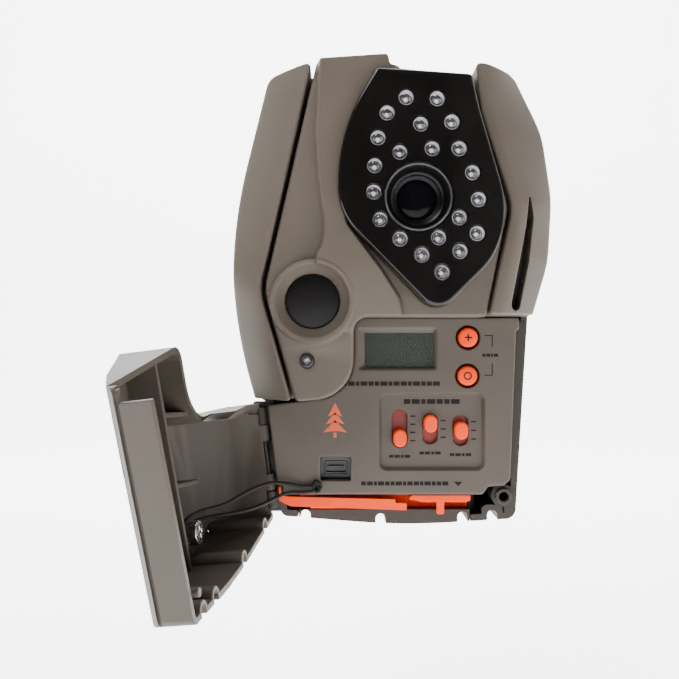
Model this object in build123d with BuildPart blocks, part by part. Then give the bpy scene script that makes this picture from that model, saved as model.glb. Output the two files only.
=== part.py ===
"""Trail camera with its lower door swung open.

Frame, in millimetres: the origin is the mouth of the tripod socket on the flat back, +X is to
the right as seen from the front, +Z is up, and the camera looks along -Y.  Depths are measured
forwards from the back.
"""

from build123d import *
import os
from math import cos, radians, sin, tan

os.makedirs("parts", exist_ok=True)

# Case
REAR_DEPTH = 42.0  # flat back to the rim where the door and the covers meet the rear housing
WALL = 2.4
BASE_TOP = 46.0  # front of the base plate that carries the side shells
COVER_TOP = 62.0  # general front of the central cover
BLADE_TOP = 66.0  # front of the raised blade beside the lamp window
WINDOW_TOP = 70.0  # front of the lamp window
PANEL_TOP = 46.0  # face of the control panel
PANEL_SKIN = 1.8
CLEAR = 0.3  # gap round pieces that move

# Standard parts
SOCKET_HOLE_R = 2.6  # minor radius of a 1/4-20 UNC thread
SOCKET_LENGTH = 10.0
AA_R = 7.15
AA_LENGTH = 50.5
LED_R = 2.5
BOARD = 1.6

# Front features, as X and Z
LENS = (6.4, 31.9)
LENS_R = 11.3
PIR = (-28.8, -2.0)
PIR_R = 9.4
INDICATOR = (-30.6, -22.3)
LATCH = (39.2, -71.2)
LATCH_R = 2.9
PORT = (-21.0, -61.0)
LCD = (1.75, -18.7)
BUTTONS = {"plus_button": (26.1, -14.3), "ok_button": (25.9, -27.9)}
BUTTON_R = 3.75
BUTTON_TRAVEL = 0.8
SWITCHES = {
    "zone_knob": {"x": 1.9, "slot": (-40.0, -53.6), "knob": -50.1},
    "delay_knob": {"x": 12.8, "slot": (-41.6, -52.4), "knob": -44.9},
    "mode_knob": {"x": 23.7, "slot": (-42.0, -53.0), "knob": -47.4},
}
SLOT_W = 5.4
PRESETS_FLOOR = 44.4
FOOT_GROOVES = (-31.8, -4.8, 24.7, 35.4)  # rounded grooves across the bottom
LEDS = [
    (2.4, 64.9), (12.6, 64.5), (-3.9, 59.8), (7.2, 56.1), (17.5, 56.8), (-6.9, 51.6), (0.3, 46.8),
    (11.0, 48.0), (19.9, 48.0), (-8.0, 42.4), (24.3, 40.1), (-8.3, 33.7), (26.3, 31.2),
    (-6.2, 24.6), (20.0, 25.2), (25.9, 20.0), (0.4, 18.2), (13.1, 18.6), (7.6, 12.9),
    (20.2, 14.1), (14.3, 7.1),
]  # fmt: skip

# Battery tray
TRAY_X = (-34.2, 27.2)
TRAY_Z = (-76.2, -18.2)
TRAY_Y = (4.4, 36.0)

# Door hinge: a leaning pin at the rim, and how far the door stands open
HINGE_FOOT = (-43.1, -78.2)
HINGE_LEAN = 7.04
DOOR_OPEN = 100.9
KNUCKLE_R = 2.0
PIN_R = 1.0
DOOR_WALL = 2.0


def front(depth):
    """A plane parallel to the face of the camera, a given depth forwards of the back."""
    return Plane.XZ.offset(depth)


def rounded(points, radii):
    """A closed face whose corners are rounded, each by its own radius."""
    with BuildLine() as outline:
        FilletPolyline(*points, radius=radii, close=True)
    make_face(outline.edges())


def save(builder, label):
    """Name a finished piece and write it."""
    builder.part.label = label
    export_step(builder.part, f"parts/{label}.step")


# The case seen from the front: leaning shoulders, a narrow base, shallow curves top and bottom
CASE = [
    (-44.2, 76.5), (-2, 81), (41, 77.5), (55.2, 43), (54.2, 22), (48.2, -6.4), (43.7, -79.5),
    (3, -82), (-40.6, -78.5), (-45.6, -37.5), (-49.4, -35.6), (-58.3, 5),
]  # fmt: skip
CASE_R = [4, 250, 5, 40, 60, 10, 4, 250, 3, 1, 1, 60]

# The central cover between the two side shells, with the hump that holds the motion sensor
COVER = [
    (-27.3, 79.2), (-3.4, 80.8), (-2.6, 77.2), (25.6, 75.4), (27.2, 63), (37.9, 30.3), (30.2, -6.8),
    (-15.3, -6.8), (-15.3, -34), (-34.6, -36), (-45.2, 2),
]  # fmt: skip
COVER_R = [2, 1.2, 1, 1.5, 20, 15, 1, 5, 14, 2, 20]

# The shield-shaped lamp window
WINDOW = [
    (-7.2, 74.8), (24.1, 72.8), (26.6, 61.5), (36.2, 29), (32.3, 12.5), (13, -6.9), (-20, 27),
    (-19.8, 46), (-15.3, 61.5),
]  # fmt: skip
WINDOW_R = [1.5, 1.5, 90, 34, 9, 8, 22, 58, 52]

LEFT_SHELL = [(-44.2, 76.5), (-28.7, 79.0), (-46.7, 2.2), (-36, -35.8), (-49.4, -35.6), (-58.3, 5)]
LEFT_R = [4, 1.5, 20, 1, 1, 60]
RIGHT_SHELL = [
    (26.6, 79.0), (41, 77.5), (55.2, 43), (54.2, 22), (48.2, -6.4), (31.2, -6.6), (38.9, 30.3),
    (28.2, 62.8),
]  # fmt: skip
RIGHT_R = [1.5, 5, 40, 60, 1, 1, 15, 20]

def foot_grooves(back, length):
    """Cut the rounded grooves that cross the bottom of the case."""
    with BuildSketch(front(back)) as grooves:
        for x in FOOT_GROOVES:
            with Locations((x, -82.2 + 0.05 * abs(x - 3))):
                SlotCenterToCenter(4.6, 3.6, rotation=90)
    extrude(grooves.sketch, amount=length, mode=Mode.SUBTRACT)


# The door's hinge leans: slices across it have b, across the shut door, and d, its depth, as axes
LEAN = radians(HINGE_LEAN)
UP = Vector(-sin(LEAN), 0, cos(LEAN))
ACROSS = Vector(cos(LEAN), 0, sin(LEAN))
HINGE_BASE = Vector(HINGE_FOOT[0], -REAR_DEPTH, HINGE_FOOT[1])


def door_slice(height):
    """A plane across the shut door, at a height along its hinge, with b and d as its axes."""
    return Plane(origin=HINGE_BASE + UP * height, x_dir=ACROSS, z_dir=-UP)


def hinge_slice(height):
    """A plane across the hinge pin, at a height along it."""
    return Plane(origin=HINGE_BASE + UP * height, x_dir=ACROSS, z_dir=UP)


# ---------------------------------------------------------------- rear housing
SCREWS = [(-38, 67), (35, 68), (-49.0, -20), (47.2, 12), (-40.2, -45), (38.0, -42)]
SCREW_HEAD_AT = 24.0
STRAP = {"x": 30.0, "low": 12.0, "high": 40.0, "depth": 7.0, "bar": 2.6}
BAY_TOP = -15.4

with BuildPart() as rear_housing:
    with BuildSketch(front(0)) as case_sketch:
        rounded(CASE, CASE_R)
    extrude(amount=REAR_DEPTH)
    fillet(rear_housing.faces().sort_by(Axis.Y)[-1].edges(), 2.0)
    with BuildSketch(front(WALL)):
        rounded(CASE, CASE_R)
        offset(amount=-WALL, kind=Kind.INTERSECTION, mode=Mode.REPLACE)
    extrude(amount=REAR_DEPTH, mode=Mode.SUBTRACT)
    # boss of the tripod socket, screw posts, and the box around the strap channel
    with BuildSketch(front(WALL - 0.4)):
        Circle(7.5)
        with Locations((0, (STRAP["low"] + STRAP["high"]) / 2)):
            Rectangle(2 * STRAP["x"] + 4, STRAP["high"] - STRAP["low"] + 4)
    extrude(amount=STRAP["depth"] + 0.4)
    with BuildSketch(front(WALL - 0.4)):
        Circle(7.5)
    extrude(amount=SOCKET_LENGTH + 2)
    with BuildSketch(front(WALL - 0.4)):
        with Locations(*SCREWS):
            Circle(3.9)
    extrude(amount=REAR_DEPTH - WALL + 0.4)
    # walls of the battery bay
    with BuildSketch(front(WALL - 0.4)):
        with Locations((TRAY_X[0] - 1.5, -47), (TRAY_X[1] + 1.5, -47)):
            Rectangle(2.0, 64.5)
        with Locations(((TRAY_X[0] + TRAY_X[1]) / 2, BAY_TOP)):
            Rectangle(TRAY_X[1] - TRAY_X[0] + 5, 2.0)
    extrude(amount=34)
    # strap channel, crossed by two bars
    with BuildSketch(front(0)):
        with Locations((0, (STRAP["low"] + STRAP["high"]) / 2)):
            Rectangle(2 * STRAP["x"], STRAP["high"] - STRAP["low"])
    extrude(amount=STRAP["depth"], mode=Mode.SUBTRACT)
    with BuildSketch(front(0)):
        with Locations((-20, 26), (20, 26)):
            Rectangle(9, STRAP["high"] - STRAP["low"] + 0.4)
    extrude(amount=STRAP["bar"])
    # socket bore, screw holes from the back, and the mouth of the battery bay
    with BuildSketch(front(0)):
        Circle(4.5)
    extrude(amount=SOCKET_LENGTH, mode=Mode.SUBTRACT)
    with BuildSketch(front(0)):
        with Locations(*SCREWS):
            Circle(3.0)
    extrude(amount=SCREW_HEAD_AT + 2.4, mode=Mode.SUBTRACT)
    with BuildSketch(front(0)):
        with Locations(*SCREWS):
            Circle(1.7)
    extrude(amount=REAR_DEPTH + 1, mode=Mode.SUBTRACT)
    with BuildSketch(front(TRAY_Y[0] - CLEAR)):
        with Locations(((TRAY_X[0] + TRAY_X[1]) / 2, -80)):
            Rectangle(TRAY_X[1] - TRAY_X[0] + 2 * CLEAR, 10)
    extrude(amount=REAR_DEPTH, mode=Mode.SUBTRACT)
    # the wall thickens over the groove that the tray's mouth doesn't take, then the grooves are cut
    with BuildSketch(front(WALL - 0.4)):
        with Locations((FOOT_GROOVES[-1], -80.0)):
            RectangleRounded(7.6, 11, 2)
    extrude(amount=REAR_DEPTH - WALL + 0.4)
    foot_grooves(-1, REAR_DEPTH + 2)
    # seat of the latch socket
    with BuildSketch(front(30)):
        with Locations(LATCH):
            Circle(LATCH_R + 1.2)
            with Locations((3.5, -3.5)):
                Rectangle(6, 7)
    extrude(amount=REAR_DEPTH - 30)
    with BuildSketch(front(0)):
        rounded(CASE, CASE_R)
    extrude(amount=REAR_DEPTH, mode=Mode.INTERSECT)
    with BuildSketch(front(34)):
        with Locations(LATCH):
            Circle(LATCH_R)
    extrude(amount=10, mode=Mode.SUBTRACT)
    # hinge knuckles on the left edge, just behind the rim
    for low in (3.0, 33.0):
        with BuildSketch(hinge_slice(low)):
            Circle(KNUCKLE_R)
            with Locations((1.6, KNUCKLE_R / 2)):
                Rectangle(3.4, KNUCKLE_R)
        extrude(amount=6)
    # lip that closes the gap behind the door's hinge edge, between the knuckles
    for low, high in ((15.4, 26.6), (39.3, 40.8)):
        with BuildSketch(hinge_slice(low)):
            with Locations((1.4, 1.95)):
                Rectangle(4.0, 2.5)
        extrude(amount=high - low)
    with BuildSketch(hinge_slice(1)):
        Circle(PIN_R)
    extrude(amount=42, mode=Mode.SUBTRACT)
save(rear_housing, "rear_housing")

with BuildPart() as hinge_pin:
    with BuildSketch(hinge_slice(3.2)):
        Circle(PIN_R)
    extrude(amount=35.6)
save(hinge_pin, "hinge_pin")

with BuildPart() as tripod_insert:
    with BuildSketch(front(0)):
        Circle(4.5)
        Circle(SOCKET_HOLE_R, mode=Mode.SUBTRACT)
    extrude(amount=SOCKET_LENGTH)
save(tripod_insert, "tripod_insert")

with BuildPart() as housing_screws:
    with BuildSketch(front(SCREW_HEAD_AT)):
        with Locations(*SCREWS):
            Circle(2.7)
    extrude(amount=2.4)
    with BuildSketch(front(SCREW_HEAD_AT + 2.4)):
        with Locations(*SCREWS):
            Circle(1.5)
    extrude(amount=BASE_TOP - 1 - SCREW_HEAD_AT - 2.4)
    with BuildSketch(front(SCREW_HEAD_AT)):
        with Locations(*SCREWS):
            Rectangle(3.2, 0.7)
            Rectangle(0.7, 3.2)
    extrude(amount=1.2, mode=Mode.SUBTRACT)
save(housing_screws, "housing_screws")

with BuildPart() as latch_socket:
    with BuildSketch(front(34)):
        with Locations(LATCH):
            Circle(LATCH_R)
    extrude(amount=10.4)
    with BuildSketch(front(36)):
        with Locations(LATCH):
            Circle(1.7)
    extrude(amount=10, mode=Mode.SUBTRACT)
save(latch_socket, "latch_socket")

with BuildPart() as battery_contacts:
    with BuildSketch(front(8)):
        with Locations((-25, BAY_TOP - 1.3), (18, BAY_TOP - 1.3)):
            Rectangle(9, 0.6)
    extrude(amount=22)
save(battery_contacts, "battery_contacts")

# ---------------------------------------------------------------- front cover
BOARD_POSTS = [(-22, 68), (-22, 16), (24.8, -0.5)]
PIR_POSTS = [(-28.8, -13.8), (-28.8, 9.8)]
MAIN_BOARD_AT = 44.0
PIR_BOARD_AT = 49.4
LAMP_BOARD_AT = 52.0
HOLDER_TOP = 51.7

with BuildPart() as front_cover:
    with BuildSketch(front(REAR_DEPTH)):
        base = [
            (-44.2, 76.5), (-2, 81), (41, 77.5), (55.2, 43), (54.2, 22), (48.2, -6.6),
            (-15.3, -6.8), (-15.3, -34), (-34.6, -36), (-49.4, -35.6), (-58.3, 5),
        ]  # fmt: skip
        rounded(base, [4, 250, 5, 40, 60, 1, 5, 14, 2, 1, 60])
    extrude(amount=BASE_TOP - REAR_DEPTH)
    with BuildSketch(front(BASE_TOP - 0.5)):
        rounded(COVER, COVER_R)
    extrude(amount=COVER_TOP - BASE_TOP + 0.5)
    chamfer(front_cover.faces().sort_by(Axis.Y)[0].edges(), 0.8)
    # raised blade beside the window, and the bezel of the motion sensor
    with BuildSketch(front(COVER_TOP - 2)):
        blade = [
            (-25.4, 77.5), (-3.2, 79), (-7.5, 74), (-16.4, 60), (-20.6, 45), (-20.2, 26.6),
            (-4, 9), (2.7, -5.4), (-14, -5.4), (-21, 14), (-25.6, 22), (-28, 52),
        ]  # fmt: skip
        rounded(blade, [2, 1, 1, 20, 15, 8, 10, 1, 4, 10, 15, 20])
    extrude(amount=BLADE_TOP - COVER_TOP + 2)
    with BuildSketch(front(COVER_TOP - 2)):
        with Locations(PIR):
            Circle(15.2)
    extrude(amount=4.4, taper=25)
    # hollow inside, open to the rear
    with BuildSketch(front(REAR_DEPTH - 1)):
        rounded(COVER, COVER_R)
        offset(amount=-WALL, kind=Kind.INTERSECTION, mode=Mode.REPLACE)
    extrude(amount=COVER_TOP - WALL - REAR_DEPTH + 1, mode=Mode.SUBTRACT)
    # screw posts for the boards
    with BuildSketch(front(MAIN_BOARD_AT + BOARD)):
        with Locations(*BOARD_POSTS):
            Circle(2.4)
    extrude(amount=COVER_TOP - 1 - MAIN_BOARD_AT - BOARD)
    with BuildSketch(front(PIR_BOARD_AT + BOARD)):
        with Locations(*PIR_POSTS):
            Circle(2.0)
    extrude(amount=COVER_TOP - 1.5 - PIR_BOARD_AT - BOARD)
    # openings for the window, the sensor and the indicator
    with BuildSketch(front(REAR_DEPTH - 1)):
        rounded(WINDOW, WINDOW_R)
        with Locations(PIR):
            Circle(PIR_R)
        with Locations(INDICATOR):
            Circle(2.4)
    extrude(amount=40, mode=Mode.SUBTRACT)
    with BuildSketch(front(COVER_TOP + 3)):
        with Locations(PIR):
            Circle(PIR_R + 3.2)
    extrude(amount=-5, taper=30, mode=Mode.SUBTRACT)
    # pilot holes for the screws
    with BuildSketch(front(REAR_DEPTH - 1)):
        with Locations(*SCREWS[:4]):
            Circle(1.5)
    extrude(amount=BASE_TOP - REAR_DEPTH + 0.2, mode=Mode.SUBTRACT)
    with BuildSketch(front(MAIN_BOARD_AT)):
        with Locations(*BOARD_POSTS, *PIR_POSTS):
            Circle(0.9)
    extrude(amount=13, mode=Mode.SUBTRACT)
save(front_cover, "front_cover")


def slope(edge_start, edge_end, crest):
    """The plane through an outer edge, at the band's height, and a point of the crest."""
    start, end = (Vector(x, -BASE_TOP - 4, z) for x, z in (edge_start, edge_end))
    normal = (end - start).cross(Vector(crest[0], -COVER_TOP, crest[1]) - start)
    if normal.Y > 0:
        normal = normal * -1
    return Plane(origin=start, x_dir=end - start, z_dir=normal)


def side_shell(outline, radii, slopes, slot=None):
    """Build a trim shell: a band that follows the case, and faces that slope up to a crest."""
    with BuildPart() as shell:
        with BuildSketch(front(BASE_TOP)):
            rounded(outline, radii)
        extrude(amount=COVER_TOP - BASE_TOP)
        for edge_start, edge_end, crest in slopes:
            split(bisect_by=slope(edge_start, edge_end, crest), keep=Keep.BOTTOM)
        with BuildSketch(front(BASE_TOP)):
            rounded(outline, radii)
            offset(amount=-2.4, kind=Kind.INTERSECTION, mode=Mode.REPLACE)
        extrude(amount=2.4, mode=Mode.SUBTRACT)
        if slot:
            with BuildSketch(front(BASE_TOP + 4)):
                rounded(slot, [0.3] + [2.0] * (len(slot) - 1))
            extrude(amount=20, mode=Mode.SUBTRACT)
    return shell


LEFT_SLOPES = [
    ((-44.2, 76.5), (-57.5, 8), (-30, 77)),
    ((-57.5, 2), (-49.4, -35.6), (-37.5, -35)),
]
left_side_shell = side_shell(LEFT_SHELL, LEFT_R, LEFT_SLOPES)
save(left_side_shell, "left_side_shell")
RIGHT_SLOPES = [
    ((41, 77.5), (54.5, 44), (30, 77)),
    ((54.5, 42), (54.2, 24), (41, 30)),
    ((54, 20), (48.2, -6.4), (36, -6)),
]
SHELL_SLOT = [(45.2, 35.5), (46.9, 27), (45.4, 12), (42.2, -5), (38.6, -5), (41.8, 12), (44.0, 24)]
right_side_shell = side_shell(RIGHT_SHELL, RIGHT_R, RIGHT_SLOPES, SHELL_SLOT)
save(right_side_shell, "right_side_shell")

# ---------------------------------------------------------------- lamp window, lamps and lens
with BuildPart() as lamp_window:
    with BuildSketch(front(COVER_TOP - 3)):
        rounded(WINDOW, WINDOW_R)
        offset(amount=-0.15, kind=Kind.INTERSECTION, mode=Mode.REPLACE)
    extrude(amount=WINDOW_TOP - COVER_TOP + 3)
    chamfer(lamp_window.faces().sort_by(Axis.Y)[0].edges(), 1.2)
    with BuildSketch(front(COVER_TOP - 4)):
        rounded(WINDOW, WINDOW_R)
        offset(amount=-2.6, kind=Kind.INTERSECTION, mode=Mode.REPLACE)
    extrude(amount=WINDOW_TOP - COVER_TOP + 1, mode=Mode.SUBTRACT)
    with BuildSketch(front(COVER_TOP)):
        with Locations(*LEDS):
            Circle(LED_R + 0.1)
        with Locations(LENS):
            Circle(LENS_R)
    extrude(amount=20, mode=Mode.SUBTRACT)
save(lamp_window, "lamp_window")

with BuildPart() as ir_lamps:
    with BuildSketch(front(61)):
        with Locations(*LEDS):
            Circle(LED_R)
    extrude(amount=7.6)
    with Locations(*[front(68.6).location * Location((x, z, 0)) for x, z in LEDS]):
        Sphere(LED_R, arc_size1=0)
    with BuildSketch(front(LAMP_BOARD_AT + BOARD)):
        for x, z in LEDS:
            with Locations((x - 1.27, z), (x + 1.27, z)):
                Circle(0.3)
    extrude(amount=7.6)
save(ir_lamps, "ir_lamps")

with BuildPart() as lamp_board:
    with BuildSketch(front(LAMP_BOARD_AT)):
        rounded(WINDOW, WINDOW_R)
        offset(amount=-3.4, kind=Kind.INTERSECTION, mode=Mode.REPLACE)
        with Locations(LENS):
            Circle(9.0, mode=Mode.SUBTRACT)
    extrude(amount=BOARD)
save(lamp_board, "lamp_board")

with BuildPart() as lens_bezel:
    with BuildSketch(front(60)):
        with Locations(LENS):
            Circle(LENS_R)
    extrude(amount=WINDOW_TOP - 60 + 1.0)
    chamfer(lens_bezel.faces().sort_by(Axis.Y)[0].edges(), 0.5)
    with BuildSketch(front(WINDOW_TOP + 1)):
        with Locations(LENS):
            Circle(9.6)
    extrude(amount=-8, taper=14, mode=Mode.SUBTRACT)
    with BuildSketch(front(59)):
        with Locations(LENS):
            Circle(7.0)
    extrude(amount=8, mode=Mode.SUBTRACT)
save(lens_bezel, "lens_bezel")

LENS_GLASS_AT = 60.4
with BuildPart() as lens_glass:
    with BuildSketch(front(LENS_GLASS_AT)):
        with Locations(LENS):
            Circle(6.9)
    extrude(amount=2.2)
    fillet(lens_glass.faces().sort_by(Axis.Y)[0].edges(), 1.8)
save(lens_glass, "lens_glass")

with BuildPart() as lens_barrel:
    with BuildSketch(front(HOLDER_TOP)):
        with Locations(LENS):
            Circle(6.9)
            Circle(4.6, mode=Mode.SUBTRACT)
    extrude(amount=LENS_GLASS_AT - HOLDER_TOP)
save(lens_barrel, "lens_barrel")

FILTER_AT = 49.6
with BuildPart() as lens_holder:
    with BuildSketch(front(MAIN_BOARD_AT + BOARD)):
        with Locations((LENS[0] + 4.5, LENS[1])):
            RectangleRounded(29, 19, 2)
    extrude(amount=HOLDER_TOP - MAIN_BOARD_AT - BOARD)
    with BuildSketch(front(MAIN_BOARD_AT)):
        with Locations(LENS):
            Circle(4.6)
    extrude(amount=12, mode=Mode.SUBTRACT)
    with BuildSketch(front(MAIN_BOARD_AT + BOARD)):
        with Locations(LENS):
            Rectangle(10, 10)
    extrude(amount=2.4, mode=Mode.SUBTRACT)
    with BuildSketch(front(FILTER_AT - 0.5)):
        with Locations((LENS[0] + 4.5, LENS[1])):
            Rectangle(20.6, 11)
    extrude(amount=1.6, mode=Mode.SUBTRACT)
save(lens_holder, "lens_holder")

with BuildPart() as ir_cut_filter:
    with BuildSketch(front(FILTER_AT)):
        with Locations(LENS):
            Rectangle(10, 10)
    extrude(amount=0.6)
save(ir_cut_filter, "ir_cut_filter")

with BuildPart() as image_sensor:
    with BuildSketch(front(MAIN_BOARD_AT + BOARD)):
        with Locations(LENS):
            Rectangle(9, 8)
    extrude(amount=1.4)
save(image_sensor, "image_sensor")

with BuildPart() as main_board:
    with BuildSketch(front(MAIN_BOARD_AT)):
        edge = [(-25, 72), (22, 72), (24, 50), (27.8, 30), (27.8, -3.6), (-12, -3.6), (-25, 10)]
        rounded(edge, [2] * len(edge))
        with Locations(*BOARD_POSTS):
            Circle(1.1, mode=Mode.SUBTRACT)
    extrude(amount=BOARD)
    with BuildSketch(front(MAIN_BOARD_AT)):
        with Locations((-8, 56), (16, 54)):
            RectangleRounded(14, 14, 0.5)
        with Locations((-10, 20)):
            Rectangle(10, 16)
        with Locations((14, 14)):
            Rectangle(8, 6)
    extrude(amount=-1.4)
save(main_board, "main_board")

with BuildPart() as pir_lens:
    with BuildSketch(front(59.0)):
        with Locations(PIR):
            Circle(PIR_R)
    extrude(amount=1.0)
save(pir_lens, "pir_lens")

with BuildPart() as pir_sensor:
    with BuildSketch(front(PIR_BOARD_AT + BOARD)):
        with Locations(PIR):
            Circle(4.6)
    extrude(amount=4.2)
    fillet(pir_sensor.faces().sort_by(Axis.Y)[0].edges(), 0.6)
save(pir_sensor, "pir_sensor")

with BuildPart() as pir_board:
    with BuildSketch(front(PIR_BOARD_AT)):
        with Locations(PIR):
            RectangleRounded(14, 28, 2)
        with Locations(*PIR_POSTS):
            Circle(1.1, mode=Mode.SUBTRACT)
    extrude(amount=BOARD)
save(pir_board, "pir_board")

with BuildPart() as indicator_lens:
    with BuildSketch(front(COVER_TOP - 4)):
        with Locations(INDICATOR):
            Circle(2.4)
    extrude(amount=3.4)
    with BuildSketch(front(COVER_TOP - 1.4)):
        with Locations(INDICATOR):
            Circle(1.6)
    extrude(amount=2, mode=Mode.SUBTRACT)
    with Locations(front(COVER_TOP - 1.4).location * Location((*INDICATOR, 0))):
        Sphere(1.0)
save(indicator_lens, "indicator_lens")

with BuildPart() as board_screws:
    for spots, level in ((BOARD_POSTS, MAIN_BOARD_AT), (PIR_POSTS, PIR_BOARD_AT)):
        with BuildSketch(front(level - 1.2)):
            with Locations(*spots):
                Circle(1.9)
        extrude(amount=1.2)
        with BuildSketch(front(level)):
            with Locations(*spots):
                Circle(0.9)
        extrude(amount=5)
save(board_screws, "board_screws")

# ---------------------------------------------------------------- control panel
PANEL = [
    (44.3, -7.2), (44.3, -11.2), (43.3, -12), (41.2, -65), (38.8, -67.0), (33.4, -67.4),
    (31.4, -70.2), (-39.6, -70.2), (-39.8, -67.2), (-41.8, -66.6), (-45.2, -38.4), (-34.6, -37),
    (-14.6, -35), (-14.6, -7.2),
]  # fmt: skip
PANEL_R = [0.5, 0.4, 0.4, 2, 1, 1, 1, 0.6, 0.6, 0.8, 0.8, 2, 14, 4.5]

with BuildPart() as control_panel:
    with BuildSketch(front(REAR_DEPTH + 0.2)):
        rounded(PANEL, PANEL_R)
    extrude(amount=PANEL_TOP - REAR_DEPTH - 0.2)
    fillet(control_panel.faces().sort_by(Axis.Y)[0].edges(), 0.5)
    with BuildSketch(front(REAR_DEPTH)):
        rounded(PANEL, PANEL_R)
        offset(amount=-1.6, kind=Kind.INTERSECTION, mode=Mode.REPLACE)
        with Locations(*SCREWS[4:]):
            Circle(3.4, mode=Mode.SUBTRACT)
    extrude(amount=PANEL_TOP - PANEL_SKIN - REAR_DEPTH, mode=Mode.SUBTRACT)
    # floor of the presets recess, cut from the front
    with BuildSketch(front(PRESETS_FLOOR - 1.6)):
        with Locations((13.3, -47.8)):
            Rectangle(40.5, 30.3)
    extrude(amount=2.0)
    with BuildSketch(front(PRESETS_FLOOR)):
        with Locations((13.3, -47.8)):
            RectangleRounded(37.6, 27.6, 3)
    extrude(amount=5, taper=-18, mode=Mode.SUBTRACT)
    # slots of the three sliding switches, button holes, screen and port
    with BuildSketch(front(40)):
        for switch in SWITCHES.values():
            high, low = switch["slot"]
            with Locations((switch["x"], (high + low) / 2)):
                SlotOverall(high - low, SLOT_W, rotation=90)
        with Locations(*BUTTONS.values()):
            Circle(BUTTON_R + 0.35)
        with Locations(LCD):
            Rectangle(24.5, 12.2)
        with Locations(PORT):
            RectangleRounded(10.8, 8.5, 0.5)
    extrude(amount=10, mode=Mode.SUBTRACT)
    with BuildSketch(front(PANEL_TOP - PANEL_SKIN + 0.4)):
        with Locations((LCD[0] - 0.7, LCD[1] + 0.8)):
            RectangleRounded(26.6, 14, 0.8)
    extrude(amount=3, taper=-24, mode=Mode.SUBTRACT)
    with BuildSketch(front(REAR_DEPTH)):
        with Locations(*SCREWS[4:]):
            Circle(1.5)
    extrude(amount=BASE_TOP - 1 - REAR_DEPTH, mode=Mode.SUBTRACT)
save(control_panel, "control_panel")

CONTROL_BOARD_AT = 38.0
ON_BOARD = CONTROL_BOARD_AT + BOARD
with BuildPart() as control_board:
    with BuildSketch(front(CONTROL_BOARD_AT)):
        with Locations((-1.5, -39)):
            RectangleRounded(69, 57, 2)
        with Locations((-32, -13)):
            Rectangle(36, 34, mode=Mode.SUBTRACT)
    extrude(amount=BOARD)
save(control_board, "control_board")

with BuildPart() as lcd_module:
    with BuildSketch(front(ON_BOARD)):
        with Locations(LCD):
            Rectangle(28.4, 16)
    extrude(amount=PANEL_TOP - PANEL_SKIN - ON_BOARD)
save(lcd_module, "lcd_module")

with BuildPart() as lcd_glass:
    with BuildSketch(front(PANEL_TOP - PANEL_SKIN)):
        with Locations(LCD):
            Rectangle(24.3, 12.0)
    extrude(amount=0.4)
save(lcd_glass, "lcd_glass")

with BuildPart() as tact_switches:
    with BuildSketch(front(ON_BOARD)):
        with Locations(*BUTTONS.values()):
            Rectangle(6, 6)
    extrude(amount=2.2)
    with BuildSketch(front(ON_BOARD + 2.2)):
        with Locations(*BUTTONS.values()):
            Circle(1.6)
    extrude(amount=0.4)
save(tact_switches, "tact_switches")

for name, spot in BUTTONS.items():
    with BuildPart() as button:
        with BuildSketch(front(43.2)):
            with Locations(spot):
                Circle(4.6)
        extrude(amount=0.8)
        with BuildSketch(front(43.2)):
            with Locations(spot):
                Circle(BUTTON_R)
        extrude(amount=4.0)
        fillet(button.faces().sort_by(Axis.Y)[0].edges(), 0.5)
    save(button, name)

with BuildPart() as slide_switches:
    with BuildSketch(front(ON_BOARD)):
        for switch in SWITCHES.values():
            with Locations((switch["x"], sum(switch["slot"]) / 2)):
                Rectangle(8.4, 17)
    extrude(amount=1.4)
save(slide_switches, "slide_switches")

for name, switch in SWITCHES.items():
    with BuildPart() as knob:
        with BuildSketch(front(ON_BOARD + 1.7)):
            with Locations((switch["x"], switch["knob"])):
                SlotOverall(6.2, SLOT_W - 0.7, rotation=90)
        extrude(amount=PANEL_TOP + 1.6 - ON_BOARD - 1.7)
        fillet(knob.faces().sort_by(Axis.Y)[0].edges(), 0.8)
    save(knob, name)

with BuildPart() as usb_port:
    with BuildSketch(front(ON_BOARD)):
        with Locations(PORT):
            RectangleRounded(8.4, 4.6, 0.8)
    extrude(amount=1.8)
    with BuildSketch(front(ON_BOARD + 0.6)):
        with Locations(PORT):
            RectangleRounded(7.4, 3.6, 0.5)
            Rectangle(5.6, 1.0, mode=Mode.SUBTRACT)
    extrude(amount=2, mode=Mode.SUBTRACT)
save(usb_port, "usb_port")

with BuildPart() as card_socket:
    with BuildSketch(front(CONTROL_BOARD_AT)):
        with Locations((-19, -48)):
            Rectangle(24, 26)
    extrude(amount=-1.4)
save(card_socket, "card_socket")

with BuildPart() as ribbon_cable:
    with BuildSketch(Plane.YZ.offset(-4)):
        with BuildLine():
            Polyline(
                (-MAIN_BOARD_AT, 8), (-MAIN_BOARD_AT, 2.6), (-ON_BOARD - 0.4, -10.4),
                (-ON_BOARD - 0.4, -10.5), (-ON_BOARD, -10.5), (-ON_BOARD, -10.2),
                (-MAIN_BOARD_AT + 0.4, 2.8), (-MAIN_BOARD_AT + 0.4, 8), close=True,
            )  # fmt: skip
        make_face()
    extrude(amount=-14)
save(ribbon_cable, "ribbon_cable")

# ---------------------------------------------------------------- battery tray
TRAY_MID_X = sum(TRAY_X) / 2
CELL_X = [TRAY_MID_X + (column - 1.5) * 14.6 for column in range(4)]
CELL_DEPTHS = (12.5, 27.9)
CELL_Z = -71.6

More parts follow.
